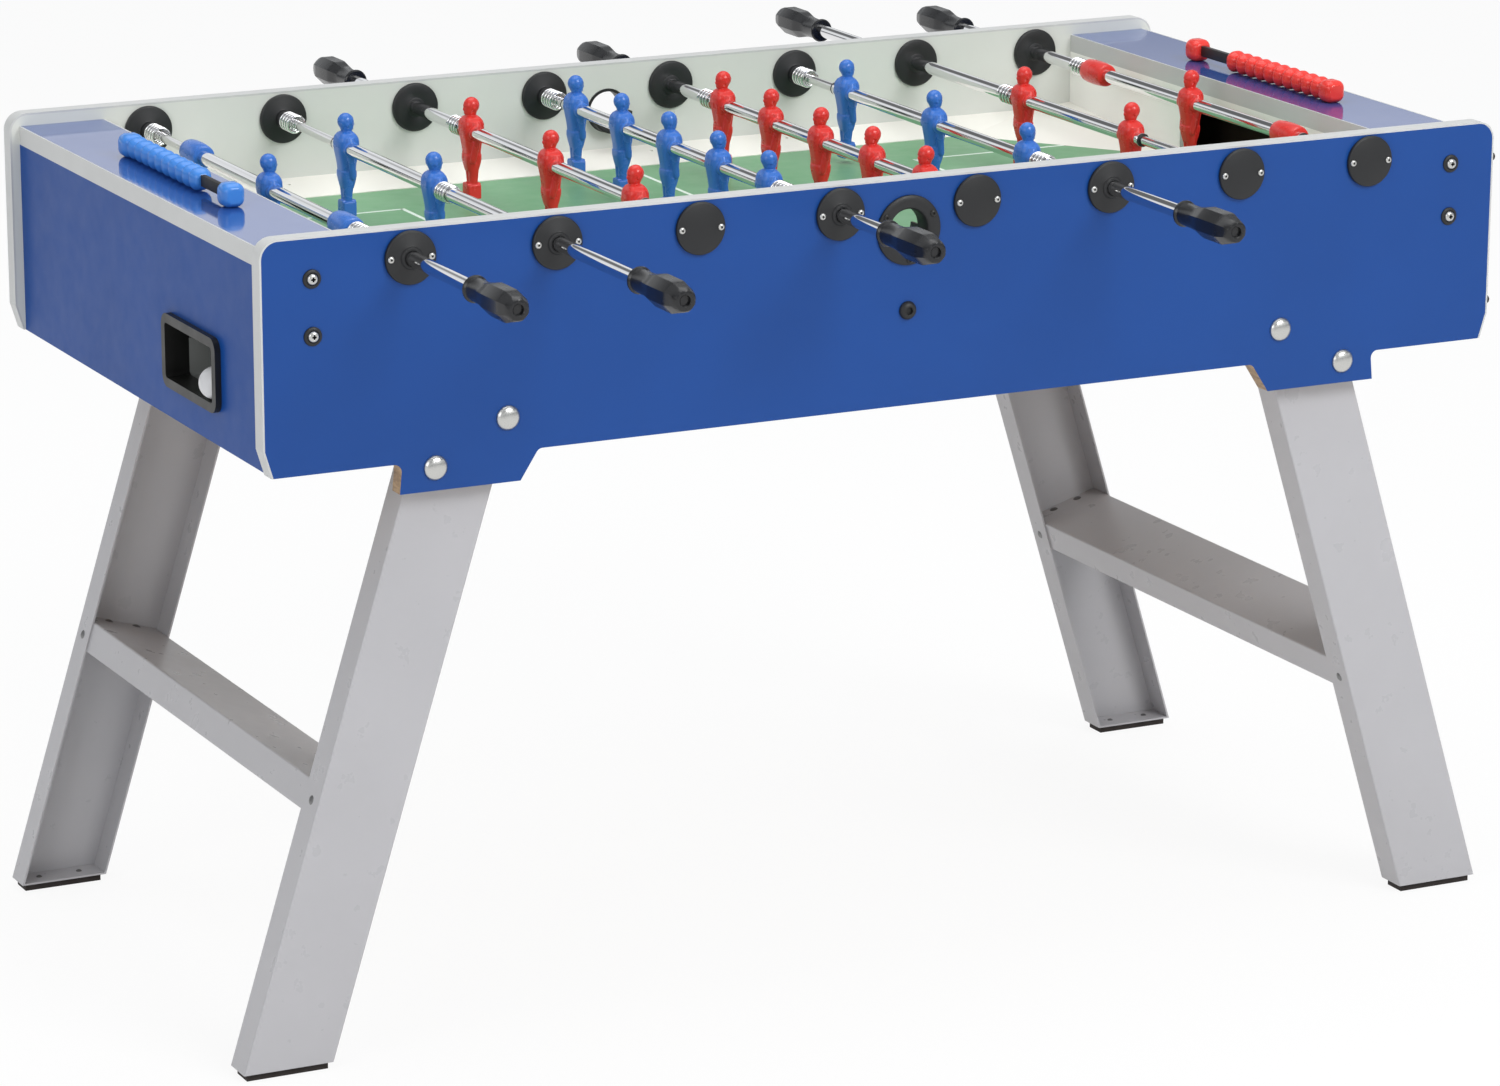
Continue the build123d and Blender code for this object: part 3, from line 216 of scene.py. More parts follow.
def chips_of(tree):
    """Short stretched chips, as in pressed board."""
    return noise(tree, coordinates(tree, (60, 60, 260)), 1.0, 6, 0.7)


def board(name, dark, light):
    """Raw pressed board with open pores."""
    material, tree, shader = new_material(name)
    chips = chips_of(tree)
    tree.links.new(two_tone(tree, chips, dark, light), shader.inputs["Base Color"])
    shader.inputs["Roughness"].default_value = 0.85
    add_bump(tree, shader, chips, 0.0003)
    return material


def faced_board(name, axis, outer, inner, outside, inside, specular):
    """A board with one laminate outside and another inside; the bare core shows between them.
    The axis is 0 for x or 1 for y, and the two places along it are in metres."""
    material, tree, shader = new_material(name)
    vector = coordinates(tree)
    where = tree.nodes.new("ShaderNodeSeparateXYZ")
    tree.links.new(vector, where.inputs[0])
    reach = tree.nodes.new("ShaderNodeMath")
    reach.operation = "ABSOLUTE"
    tree.links.new(where.outputs[axis], reach.inputs[0])
    slow = noise(tree, vector, 6, 3)
    colours = two_tone(tree, chips_of(tree), *CORE)
    for operation, place, colour in (("GREATER_THAN", outer, outside), ("LESS_THAN", inner, inside)):
        beyond = tree.nodes.new("ShaderNodeMath")
        beyond.operation = operation
        beyond.inputs[1].default_value = place
        tree.links.new(reach.outputs[0], beyond.inputs[0])
        mix = tree.nodes.new("ShaderNodeMix")
        mix.data_type = "RGBA"
        tree.links.new(beyond.outputs[0], mix.inputs["Factor"])
        tree.links.new(colours, mix.inputs["A"])
        tree.links.new(two_tone(tree, slow, tone(colour, 0.97), tone(colour, 1.03)), mix.inputs["B"])
        colours = mix.outputs["Result"]
    tree.links.new(colours, shader.inputs["Base Color"])
    gloss = spread(tree, noise(tree, vector, 40, 5), 0.34, 0.42)
    tree.links.new(gloss, shader.inputs["Roughness"])
    shader.inputs["Specular IOR Level"].default_value = specular
    add_bump(tree, shader, noise(tree, vector, 900, 2), 0.000008)
    return material


BLUE = srgb(18, 68, 140)
WHITE = srgb(212, 214, 209)
CORE = (srgb(112, 84, 54), srgb(176, 144, 104))
DARK_BACKING = srgb(60, 52, 44)
SKIN = 0.1 * MM
SIDE_BOARD = faced_board("side_laminate", 1, OUTER_FACE - SKIN, INNER_FACE + SKIN, BLUE, WHITE, 0.3)
END_BOARD = faced_board("end_laminate", 0, END_FAR.x - SKIN, END_NEAR.x + SKIN, BLUE, DARK_BACKING, 0.12)
# The top boards' blue is raised lighter in part as painted sheen, standing in for the glare of bright
# surroundings; the coat and specular give their real gloss.
SHEENED_BLUE_TOP = moulded("glossy_blue_top", srgb(46, 80, 148), 0.10, 600, 0.000003, 0.03, coat=0.45, specular=0.4)
SILVER_EDGE = moulded("silver_edging", srgb(196, 197, 196), 0.42, 1200, 0.00001, 0.03)
WHITE_WALL = moulded("white_laminate", srgb(250, 249, 244), 0.4, 900, 0.00001, 0.02)
CREAM = moulded("cream_plastic", srgb(238, 236, 228), 0.45, 900, 0.00001, 0.02)
GREEN = moulded("green_field", srgb(108, 160, 118), 0.42, 700, 0.00001, 0.04)
WHITE_LINE = moulded("white_line", srgb(225, 240, 228), 0.4, 700, 0.00001, 0.02)
PAINT = moulded("grey_paint", srgb(177, 176, 179), 0.3, 1800, 0.00001, 0.02)
BLACK = moulded("black_plastic", srgb(23, 24, 26), 0.5, 1300, 0.00002, 0.08)
# Painted shade: a near-black laid on the floor of the screws' cross cuts, where shade falls in the recess.
RECESS_SHADE = moulded("painted_recess_shade", srgb(20, 20, 20), 0.7, 900, 0.00002, 0.08)
GRIP_BLACK = moulded("grip_black", srgb(22, 23, 26), 0.26, 1100, 0.00001, 0.08)
FRAME_BLACK = moulded("frame_black", srgb(18, 18, 17), 0.42, 1100, 0.00002, 0.06)
RUBBER = moulded("black_rubber", srgb(36, 29, 26), 0.8, 700, 0.00005, 0.1)
TEAM = {
    "blue": moulded("blue_plastic", srgb(52, 110, 196), 0.28, 1000, 0.00001, 0.04),
    "red": moulded("red_plastic", srgb(216, 46, 40), 0.28, 1000, 0.00001, 0.04),
}
# The white ball is painted down to a light grey: painted shade, for the shade inside the ball return where it
# lies.
SHADED_BALL_WHITE = moulded("white_ball", srgb(208, 208, 210), 0.4, 900, 0.00003, 0.03)
BEAD = {
    "blue": moulded("blue_bead", srgb(64, 134, 216), 0.2, 1000, 0.00001, 0.04),
    "red": moulded("red_bead", srgb(232, 58, 50), 0.2, 1000, 0.00001, 0.04),
}
GREY_INSIDE = moulded("grey_plastic", srgb(140, 142, 140), 0.6, 900, 0.00002, 0.04)
CHROME = polished("chrome_tube", (0.8, 0.8, 0.81), 0.05)
STEEL = polished("steel_rod", (0.78, 0.78, 0.78), 0.12)
DARK_ZINC = polished("zinc_bolts", (0.22, 0.22, 0.22), 0.4)
ZINC = polished("zinc_screws", (0.6, 0.6, 0.58), 0.3)
RAW_WOOD = board("raw_wood", *CORE)


# ---------------------------------------------------------------- mesh making

def to_object(name, build, material, smooth_angle=35):
    """An object from a bmesh, in metres, shaded smooth except over sharp edges."""
    bmesh.ops.recalc_face_normals(build, faces=build.faces)
    mesh = bpy.data.meshes.new(name)
    build.to_mesh(mesh)
    build.free()
    mesh.materials.append(material)
    mesh.shade_smooth()
    mesh.set_sharp_from_angle(angle=math.radians(smooth_angle))
    return linked(name, mesh)


def linked(name, mesh):
    piece = bpy.data.objects.new(name, mesh)
    bpy.context.scene.collection.objects.link(piece)
    return piece


def stitch(build, rings, closed_ends=True):
    """Faces between rings of vertices that all have the same count."""
    count = len(rings[0])
    for lower, upper in zip(rings, rings[1:]):
        for step in range(count):
            after = (step + 1) % count
            build.faces.new((lower[step], lower[after], upper[after], upper[step]))
    if closed_ends:
        build.faces.new(list(reversed(rings[0])))
        build.faces.new(rings[-1])


def ring(build, centre, side, up, radius_side, radius_up, count):
    """A ring of vertices round a centre."""
    vertices = []
    for step in range(count):
        angle = 2 * math.pi * step / count
        offset = side * (radius_side * math.cos(angle)) + up * (radius_up * math.sin(angle))
        vertices.append(build.verts.new(centre + offset))
    return vertices


def circle(build, radius, y, count):
    """A round ring of vertices about the Y axis, in mm."""
    return ring(build, ALONG * (y * MM), ACROSS, UP, radius * MM, radius * MM, count)


def turned(name, profile, material, segments=48, smooth_angle=35):
    """A body of revolution about Y. The profile is a list of (radius, y) in mm; it closes itself.
    A profile that starts and ends on the axis is solid; any other is a ring."""
    build = bmesh.new()
    solid = profile[0][0] == 0
    points = profile[1:-1] if solid else profile
    rings = [circle(build, radius, y, segments) for radius, y in points]
    stitch(build, rings, closed_ends=solid)
    if not solid:
        stitch(build, [rings[-1], rings[0]], closed_ends=False)
    return to_object(name, build, material, smooth_angle)


def rounded_block(name, low, high, radius, material):
    """A box between two corners in mm, with rounded edges."""
    build = bmesh.new()
    bmesh.ops.create_cube(build, size=1)
    low, high = Vector(low) * MM, Vector(high) * MM
    size = high - low
    middle = (low + high) / 2
    for vertex in build.verts:
        vertex.co = Vector(a * b for a, b in zip(vertex.co, size)) + middle
    bmesh.ops.bevel(build, geom=build.edges[:], offset=radius * MM, segments=3, affect="EDGES", profile=0.5)
    return to_object(name, build, material, 60)


def place(source, name, body, matrix, *nodes):
    """A copy of a piece that shares its mesh, set down and riding on a body."""
    piece = linked(name, source.data)
    piece.matrix_world = matrix
    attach(piece, body)
    if nodes:
        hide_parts(*nodes)
    return piece


def drop(*sources):
    """Takes away patterns that copies were made from."""
    for source in sources:
        bpy.data.objects.remove(source)


def dress(node, material):
    """Gives a CAD node its finish."""
    mesh = frame["nodes"][node].data
    mesh.materials.clear()
    mesh.materials.append(material)


# ---------------------------------------------------------------- players

def sweep_tube(build, stations, count=16):
    """A tube through (centre, radius) stations in mm, with closed ends."""
    rings = []
    for index, (centre, radius) in enumerate(stations):
        before = Vector(stations[max(index - 1, 0)][0])
        after = Vector(stations[min(index + 1, len(stations) - 1)][0])
        along = (after - before).normalized()
        side = along.cross(ACROSS).normalized()
        up = side.cross(along).normalized()
        rings.append(ring(build, Vector(centre) * MM, side, up, radius * MM, radius * MM, count))
    stitch(build, rings)


def body_loft(build, sections, count=32):
    """A body through level sections with soft square corners, each (z, half width, half depth) in mm."""
    rings = []
    for z, half_width, half_depth in sections:
        vertices = []
        for step in range(count):
            angle = 2 * math.pi * step / count
            across, ahead = math.sin(angle), math.cos(angle)
            y = half_width * math.copysign(abs(across) ** SQUARENESS, across)
            x = half_depth * math.copysign(abs(ahead) ** SQUARENESS, ahead)
            vertices.append(build.verts.new((x * MM, y * MM, z * MM)))
        rings.append(vertices)
    stitch(build, rings)


def ellipsoid(build, centre, radii):
    """An egg shape, in mm."""
    made = bmesh.ops.create_icosphere(build, subdivisions=4, radius=1)
    for vertex in made["verts"]:
        vertex.co = Vector(c * MM + v * r * MM for c, v, r in zip(centre, vertex.co, radii))


def brick(build, low, high):
    """A plain block between two corners, in mm, which melts into the player."""
    made = bmesh.ops.create_cube(build, size=1)
    for vertex in made["verts"]:
        vertex.co = Vector((a + (v + 0.5) * (b - a)) * MM for a, b, v in zip(low, high, vertex.co))


def add_trunk(build):
    """Chest, waist and shorts, from the neck down."""
    torso = [(18.0, 6.4, 6.0), (15.6, 10.4, 8.8), (12.4, 13.0, 11.0), (8.4, 13.6, 12.4), (3, 13.0, 12.8),
             (-4, 12.2, 12.0), (-12, 11.4, 10.4), (-19, 10.8, 9.2), (-25, 10.6, 8.6), (-26.5, 10.2, 8.2)]
    body_loft(build, torso)
    shorts = [(-25.5, 11.4, 9.4), (-31, 11.2, 9.4), (-38, 9.8, 8.0), (-44, 8.0, 6.6)]
    body_loft(build, shorts)


def add_boss(build):
    """The thick ring of plastic round the rod."""
    profile = ((8.2, -17.4), (8.7, -16.8), (8.7, 16.8), (8.2, 17.4))
    stitch(build, [circle(build, radius, y, 28) for radius, y in profile])


def add_limbs(build, side):
    """The arm down one side, with its hand on the thigh, and the leg under it."""
    arm = [((-0.6, side * 11.6, 11.4), 4.6), ((-0.8, side * 12.6, 7), 5.2), ((-0.8, side * 13.0, 0), 4.9),
           ((-0.4, side * 13.2, -9), 4.4), ((0.8, side * 12.8, -17), 4.1), ((2.2, side * 12.0, -25), 3.8),
           ((3.2, side * 11.2, -31), 3.6), ((3.6, side * 10.6, -34), 2.6)]
    sweep_tube(build, arm)
    leg = [((-0.2, side * 4.8, -34), 6.6), ((-0.3, side * 4.2, -42), 6.0), ((-0.5, side * 3.4, -50), 5.4),
           ((-0.4, side * 3.0, -57), 5.0), ((0, side * 2.9, -63), 5.0)]
    sweep_tube(build, leg)


def add_head(build):
    """Neck, head and hair, with a plain nose, brow, chin and ears."""
    sweep_tube(build, [((0, 0, 10), 7.0), ((0, 0, 16), 5.6), ((0.2, 0, 22), 4.8)])
    ellipsoid(build, (0.8, 0, 25.4), (7.9, 7.4, 10.4))
    ellipsoid(build, (-0.4, 0, 28.8), (9.0, 8.6, 9.2))
    ellipsoid(build, (8.4, 0, 25.2), (1.6, 1.3, 2.4))
    ellipsoid(build, (7.4, 0, 28.6), (1.5, 4.4, 1.1))
    ellipsoid(build, (6.8, 0, 20.4), (1.6, 3.0, 1.6))
    for side in (-1, 1):
        ellipsoid(build, (-0.6, side * 8.0, 26.0), (1.8, 1.1, 2.6))


def add_foot(build):
    """A block foot with a thicker middle."""
    brick(build, (-7.4, -9.4, -FOOT_DROP), (7.4, 9.4, -59.4))
    brick(build, (-8.2, -6.2, -FOOT_DROP), (8.2, 6.2, -57.6))


def player_pattern():
    """A moulded player facing +X with the rod through its chest."""
    build = bmesh.new()
    add_trunk(build)
    add_boss(build)
    for side in (-1, 1):
        add_limbs(build, side)
    add_head(build)
    add_foot(build)
    piece = unfinished("player_pattern", build)
    melt(piece, 0.6, 3)
    cut_bore(piece)
    return piece


def unfinished(name, build):
    """An object with no material, to be worked on by modifiers."""
    bmesh.ops.recalc_face_normals(build, faces=build.faces)
    mesh = bpy.data.meshes.new(name)
    build.to_mesh(mesh)
    build.free()
    return linked(name, mesh)


def apply_modifiers(piece):
    """Turns what the modifiers make into the piece's own mesh."""
    graph = bpy.context.evaluated_depsgraph_get()
    mesh = bpy.data.meshes.new_from_object(piece.evaluated_get(graph))
    piece.modifiers.clear()
    piece.data = mesh
    return mesh


def cut_bore(piece):
    """Cuts the hole for the rod, inside the wall of the tube that carries the player."""
    build = bmesh.new()
    stitch(build, [circle(build, PLAYER_BORE, y, 48) for y in (-25, 25)])
    cutter = unfinished("bore_cutter", build)
    cut = piece.modifiers.new("bore", "BOOLEAN")
    cut.operation = "DIFFERENCE"
    cut.object = cutter
    apply_modifiers(piece).set_sharp_from_angle(angle=math.radians(50))
    drop(cutter)


def melt(piece, voxel, smoothing):
    """Joins overlapping shapes into one moulded skin with soft creases."""
    remesh = piece.modifiers.new("skin", "REMESH")
    remesh.mode = "VOXEL"
    remesh.voxel_size = voxel * MM
    soften = piece.modifiers.new("soften", "SMOOTH")
    soften.factor = 0.5
    soften.iterations = smoothing
    lighter = piece.modifiers.new("lighter", "DECIMATE")
    lighter.ratio = 0.35
    apply_modifiers(piece).shade_smooth()


def stop_ring_pattern():
    """A barrel with its ends rounded off."""
    profile = [(7.4, -STOP_HALF), (11.2, -STOP_HALF), (12.2, -21.4), (12.8, -20), (13.7, -12), (14, 0),
               (13.7, 12), (12.8, 20), (12.2, 21.4), (11.2, STOP_HALF), (7.4, STOP_HALF)]
    return turned("stop_ring_pattern", profile, TEAM["blue"])


# ---------------------------------------------------------------- rods

def coil_pattern(name, radius, length):
    """A spring along +Y from zero, wound from round wire, in mm."""
    build = bmesh.new()
    steps_a_turn, sides = 40, 12
    steps = COIL_TURNS * steps_a_turn
    rings = []
    for step in range(steps + 1):
        angle = 2 * math.pi * step / steps_a_turn
        outward = Vector((math.cos(angle), 0, math.sin(angle)))
        risen = WIRE_RADIUS + (length - 2 * WIRE_RADIUS) * step / steps
        centre = outward * radius + ALONG * risen
        rings.append(ring(build, centre * MM, outward, ALONG, WIRE_RADIUS * MM, WIRE_RADIUS * MM, sides))
    stitch(build, rings)
    return to_object(name, build, CHROME, 80)


def handle_pattern():
    """A faceted grip from y = 0, at the rod's collar, to y = -105, at its end."""
    build = bmesh.new()
    sides, per_side = 8, 4
    stations = [
        # y, radius, how square the facets are, from 0 for round to 1
        (0, 9.5, 0), (-0.3, 12.4, 0), (-1.4, 13.7, 0), (-2.6, 14, 0), (-4.0, 13.7, 0), (-5.0, 12.9, 0),
        (-5.9, 12.1, 0), (-8, 11.8, 0), (-26, 12.1, 0), (-29, 12.4, 0.2), (-32, 12.9, 0.7), (-37, 14.0, 1),
        (-44, 15.6, 1), (-49, 16.6, 1), (-52, 17, 1), (-85, 17, 1), (-88.5, 16.6, 1), (-92, 15.6, 1),
        (-98, 13.8, 0.9), (-102.5, 12.2, 0.5), (-104.4, 10.8, 0.2), (-105, 9.2, 0), (-105, 6.6, 0),
        (-104.2, 5.6, 0), (-101.2, 5.4, 0), (-101.2, 0.2, 0)]
    count = sides * per_side
    rings = []
    for y, radius, square in stations:
        vertices = []
        for step in range(count):
            angle = 2 * math.pi * step / count
            within = (angle + math.pi / sides) % (2 * math.pi / sides) - math.pi / sides
            flat = math.cos(math.pi / sides) / math.cos(within)
            reach = radius * (1 + square * (flat - 1)) * MM
            vertices.append(build.verts.new((reach * math.cos(angle), y * MM, reach * math.sin(angle))))
        rings.append(vertices)
    stitch(build, rings)
    return to_object("handle_pattern", build, GRIP_BLACK, 22)


def rod_matrix(team, kind, y):
    """At a rod's axis, turned with its team, at a world y."""
    x, _, z = JOINTS[team + "_" + kind + "_spin"]["pos_m"]
    return Matrix.Translation((x, y, z)) @ Matrix.Rotation(0 if team == "blue" else math.pi, 4, "Z")


def along_rod(team, node):
    """A node's two ends along its rod, in the rod's own direction: handle end first."""
    low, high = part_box(node)
    return (low.y, high.y) if team == "blue" else (high.y, low.y)


def pipe(name, body, team, kind, near, far, outer, inner, material, *nodes):
    """A straight tube, or a rod where inner is 0, between two world y places, with softened ends."""
    length = abs(far - near) / MM
    edge = 0.4
    profile = [(inner, 0), (outer - edge, 0), (outer, edge), (outer, length - edge), (outer - edge, length),
               (inner, length)]
    piece = turned(name, profile, material, 40, 30)
    piece.matrix_world = rod_matrix(team, kind, near)
    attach(piece, body)
    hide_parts(*nodes)


def team_mesh(pattern, name, team):
    """A pattern's mesh in a team's plastic."""
    mesh = pattern.data.copy()
    mesh.name = name
    mesh.materials.clear()
    mesh.materials.append(TEAM[team])
    return mesh


def set_on_tube(name, mesh, team, kind, y):
    """A piece that is fixed on a rod's tube at a world y."""
    piece = linked(name, mesh)
    piece.matrix_world = rod_matrix(team, kind, y)
    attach(piece, f"{team}_{kind}_rod")
    return piece


def build_tube(team, kind, forward):
    """The sliding tube and the bush in its far end. The bush's flange is the last of the tube's node."""
    name = f"{team}_{kind}"
    near, far = along_rod(team, name + "_tube")
    tube_end = far - BUSH_FLANGE * MM * forward
    pipe(name + "_chrome_tube", name + "_rod", team, kind, near, tube_end, TUBE_RADIUS, TUBE_BORE, CHROME,
         name + "_tube")
    profile = [(5.3, -4), (6.2, -4), (6.2, 0.02), (7.0, 0.02), (7.4, 0.4), (7.4, 2.4), (6.8, BUSH_FLANGE),
               (5.3, BUSH_FLANGE)]
    bush = turned(name + "_bush", profile, BLACK)
    bush.matrix_world = rod_matrix(team, kind, tube_end)
    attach(bush, name + "_rod")


def build_players(team, kind, mesh, stop_mesh):
    """The players, evenly spread over their node, and a goalkeeper's two stop rings."""
    name = f"{team}_{kind}"
    low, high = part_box(name + "_players")
    count = PLAYERS_ON[kind]
    middle = (low.y + high.y) / 2
    span = (high.y - low.y) - FIGURE_WIDTH * MM
    step = span / (count - 1) if count > 1 else 0
    for index in range(count):
        y = middle + (index - (count - 1) / 2) * step
        piece = set_on_tube(f"{name}_player_{index + 1}", mesh, team, kind, y)
        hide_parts(name + "_players")
    if kind == "goalie":
        for end, y in (("near", low.y + STOP_HALF * MM), ("far", high.y - STOP_HALF * MM)):
            set_on_tube(f"{name}_{end}_stop", stop_mesh, team, kind, y)


def build_rod(team, kind, patterns, meshes):
    """One telescopic rod with all that it carries."""
    grip, near_coil, far_coil = patterns
    name = f"{team}_{kind}"
    forward = 1 if team == "blue" else -1
    build_tube(team, kind, forward)

    near_side, _ = along_rod(team, name + "_players")
    coil_start = near_side - (SEAT_GAP + NEAR_COIL["length"]) * MM * forward
    place(near_coil, name + "_near_spring", name + "_rod", rod_matrix(team, kind, coil_start))

    free, held = along_rod(team, name + "_inner_rod")
    pipe(name + "_steel_rod", name + "_core", team, kind, free, held, ROD_RADIUS, 0, STEEL,
         name + "_inner_rod")
    coil_start = (INNER_FACE - (HUB_END + FAR_COIL["length"]) * MM) * forward
    place(far_coil, name + "_far_spring", name + "_core", rod_matrix(team, kind, coil_start))

    build_players(team, kind, *meshes)
    _, collar = along_rod(team, name + "_handle")
    place(grip, name + "_grip", name + "_rod", rod_matrix(team, kind, collar), name + "_handle")


def build_rods():
    figure = player_pattern()
    stop = stop_ring_pattern()
    patterns = (handle_pattern(), coil_pattern("near_coil_pattern", **NEAR_COIL),
                coil_pattern("far_coil_pattern", **FAR_COIL))
    for team in TEAMS:
        meshes = (team_mesh(figure, team + "_player", team), team_mesh(stop, team + "_stop", team))
        for kind in PLAYERS_ON:
            build_rod(team, kind, patterns, meshes)
    drop(figure, stop, *patterns)


# ---------------------------------------------------------------- discs and screws

def pan_screw(name, radius, height, material):
    """A domed screw head on the plane y = 0, standing towards -Y, with a cross cut in it; the cut's floor is
    painted near-black as shade.
    """
    build = bmesh.new()
    count, levels = 32, 6
    rings = []
    for level in range(levels):
        angle = level / levels * math.pi / 2
        rings.append(circle(build, radius * math.cos(angle) ** 0.6, -height * math.sin(angle), count))
    lip, floor = [], []
    for step in range(count):
        angle = 2 * math.pi * step / count
        reach = radius * 0.42 * (0.55 + 0.45 * abs(math.cos(2 * angle))) * MM
        x, z = reach * math.cos(angle), reach * math.sin(angle)
        lip.append(build.verts.new((x, -height * 0.9288 * MM, z)))
        floor.append(build.verts.new((x * 0.75, -height * 0.301 * MM, z * 0.75)))
    stitch(build, rings + [lip, floor])
    # The faces down into the cut get the painted recess shade, not the screw's own metal.
    deep = set(floor)
    for face in build.faces:
        if len(deep.intersection(face.verts)) >= 2:
            face.material_index = 1
    piece = to_object(name, build, material, 50)
    piece.data.materials.append(RECESS_SHADE)
    return piece


def wall_matrix(side, x, z, y):
    """On a side panel: side -1 faces the front, +1 faces the back."""
    turn = 0 if side < 0 else math.pi
    return Matrix.Translation((x, y, z)) @ Matrix.Rotation(turn, 4, "Z")


def disc_pattern(name, start, rest):
    """A rod disc: its rounded edge between the profile's start on the panel and the rest of its front."""
    return turned(name, start + [(26.6, 0), (DISC_RADIUS, -0.9), (DISC_RADIUS, -3.4), (26.9, -4.4),
                                 (25.9, -4.9)] + rest, BLACK, 72)


def inner_disc_pattern(name, bore, rest):
    """A rod disc inside the cabinet, with a slightly sharper edge."""
    return turned(name, [(bore, 0), (26.8, 0), (DISC_RADIUS, -0.7), (DISC_RADIUS, -3.6), (26.7, -4.6),
                         (25.8, -5.0)] + rest, BLACK, 72)


def build_discs():
    outer = disc_pattern("disc_pattern", [(0, 0)], [(0, -5.0)])
    bored = disc_pattern("bored_disc_pattern", [(7.6, 0)],
                         [(12.6, -5.0), (11.9, -5.4), (11.2, -7.4), (10.4, -8), (8.6, -8), (7.6, -7.2)])
    hub = [(11.8, -5.0), (10.7, -5.6), (10.5, -6.6), (10.5, -11.2), (9.8, -12), (5.3, -12)]
    inner = inner_disc_pattern("inner_disc_pattern", 5.3, hub)
    sleeved = inner_disc_pattern("sleeved_disc_pattern", 7.6,
                                 [(12, -5.0), (11.2, -4.6), (10.4, -5.0), (7.6, -5.0)])
    screw = pan_screw("disc_screw_pattern", 3.6, 2.0, ZINC)
    for team in TEAMS:
        handle_side = -1 if team == "blue" else 1
        for kind in PLAYERS_ON:
            for side in (-1, 1):
                pair = (bored, sleeved) if side == handle_side else (outer, inner)
                set_disc_pair(team, kind, side, pair, screw)
    drop(outer, bored, inner, sleeved, screw)


def set_disc_pair(team, kind, side, pair, screw):
    """The outer and the inner disc at a rod's place in one side panel, and the two screws outside."""
    x, _, z = JOINTS[f"{team}_{kind}_spin"]["pos_m"]
    name = f"{team}_{kind}_{'front' if side < 0 else 'back'}"
    outside, inside = pair
    place(outside, name + "_disc", "table", wall_matrix(side, x, z, side * OUTER_FACE), "rod_discs")
    place(inside, name + "_inner_disc", "table", wall_matrix(-side, x, z, side * INNER_FACE), "rod_discs")
    for letter, offset in (("a", -DISC_SCREW_SPREAD * MM), ("b", DISC_SCREW_SPREAD * MM)):
        # each cross is turned a little differently, as screws are left by hand
        turn = Matrix.Rotation(0.6 + 20 * offset + x, 4, "Y")
        matrix = wall_matrix(side, x + offset, z, side * (OUTER_FACE + DISC_FACE * MM)) @ turn
        place(screw, f"{name}_screw_{letter}", "table", matrix, "panel_screws")


def arc_points(build, radius, y, angles):
    """Vertices at a radius from the Y axis, in mm, at angles from +X towards +Z."""
    return [build.verts.new((radius * MM * math.cos(a), y * MM, radius * MM * math.sin(a))) for a in angles]


def entry_ramp_pattern():
    """The flat ramp in the bottom of the entry ring: its outer edge stands higher than its inner edge."""
    build = bmesh.new()
    rings = []
    steps = 16
    for y, level in ((-3.6, -13.0), (-3.0, -12.6), (35.5, -20.6), (36, -21.2)):
        open_angle = math.acos(-level / ENTRY_RAMP_RADIUS)
        angles = [-math.pi / 2 + open_angle * (2 * step / steps - 1) for step in range(steps + 1)]
        rings.append(arc_points(build, ENTRY_RAMP_RADIUS, y, angles))
    stitch(build, rings)
    return to_object("entry_ramp_pattern", build, BLACK, 40)


def entry_cup_pattern():
    """The half tube inside the panel, open at the top."""
    build = bmesh.new()
    steps = 24
    angles = [math.pi + math.pi * step / steps for step in range(steps + 1)]
    rings = [arc_points(build, ENTRY_RADIUS, y, angles) + arc_points(build, 24.5, y, reversed(angles))
             for y in (20, 36)]
    stitch(build, rings)
    return to_object("entry_cup_pattern", build, BLACK)


def build_entry_rings():
    low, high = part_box("ball_entry_rings")
    z = (low.z + high.z) / 2
    profile = [(ENTRY_RADIUS, 20), (24.4, 20), (24.4, 0), (36, 0), (37, -1), (36.6, -2.6), (35, -3.8),
               (30, -4), (25.4, -3.6), (23.2, -2.4), (ENTRY_RADIUS, 0)]
    ring_piece = turned("entry_ring_pattern", profile, BLACK, 72)
    cup_piece = entry_cup_pattern()
    profile = [(ENTRY_RADIUS, 20), (ENTRY_RADIUS, 20.8), (25.0, 20.8), (25.4, 20.4), (25.4, 20)]
    rim = turned("entry_rim_pattern", profile, BLACK, 72)
    ramp_piece = entry_ramp_pattern()
    screw = pan_screw("entry_screw_pattern", 3.6, 1.8, FRAME_BLACK)
    for side, name in ((-1, "front"), (1, "back")):
        matrix = wall_matrix(side, 0, z, side * OUTER_FACE)
        place(ring_piece, name + "_entry_ring", "table", matrix, "ball_entry_rings")
        place(cup_piece, name + "_entry_cup", "table", matrix)
        place(rim, name + "_entry_rim", "table", matrix)
        place(ramp_piece, name + "_entry_ramp", "table", matrix)
        for degrees in ENTRY_SCREW_ANGLES:
            angle = math.radians(degrees)
            spot = Vector((math.cos(angle), 0, math.sin(angle))) * (ENTRY_SCREW_REACH * MM)
            spot.y = -3.9 * MM
            place(screw, f"{name}_entry_screw_{degrees}", "table", matrix @ Matrix.Translation(spot))
    drop(ring_piece, cup_piece, rim, ramp_piece, screw)


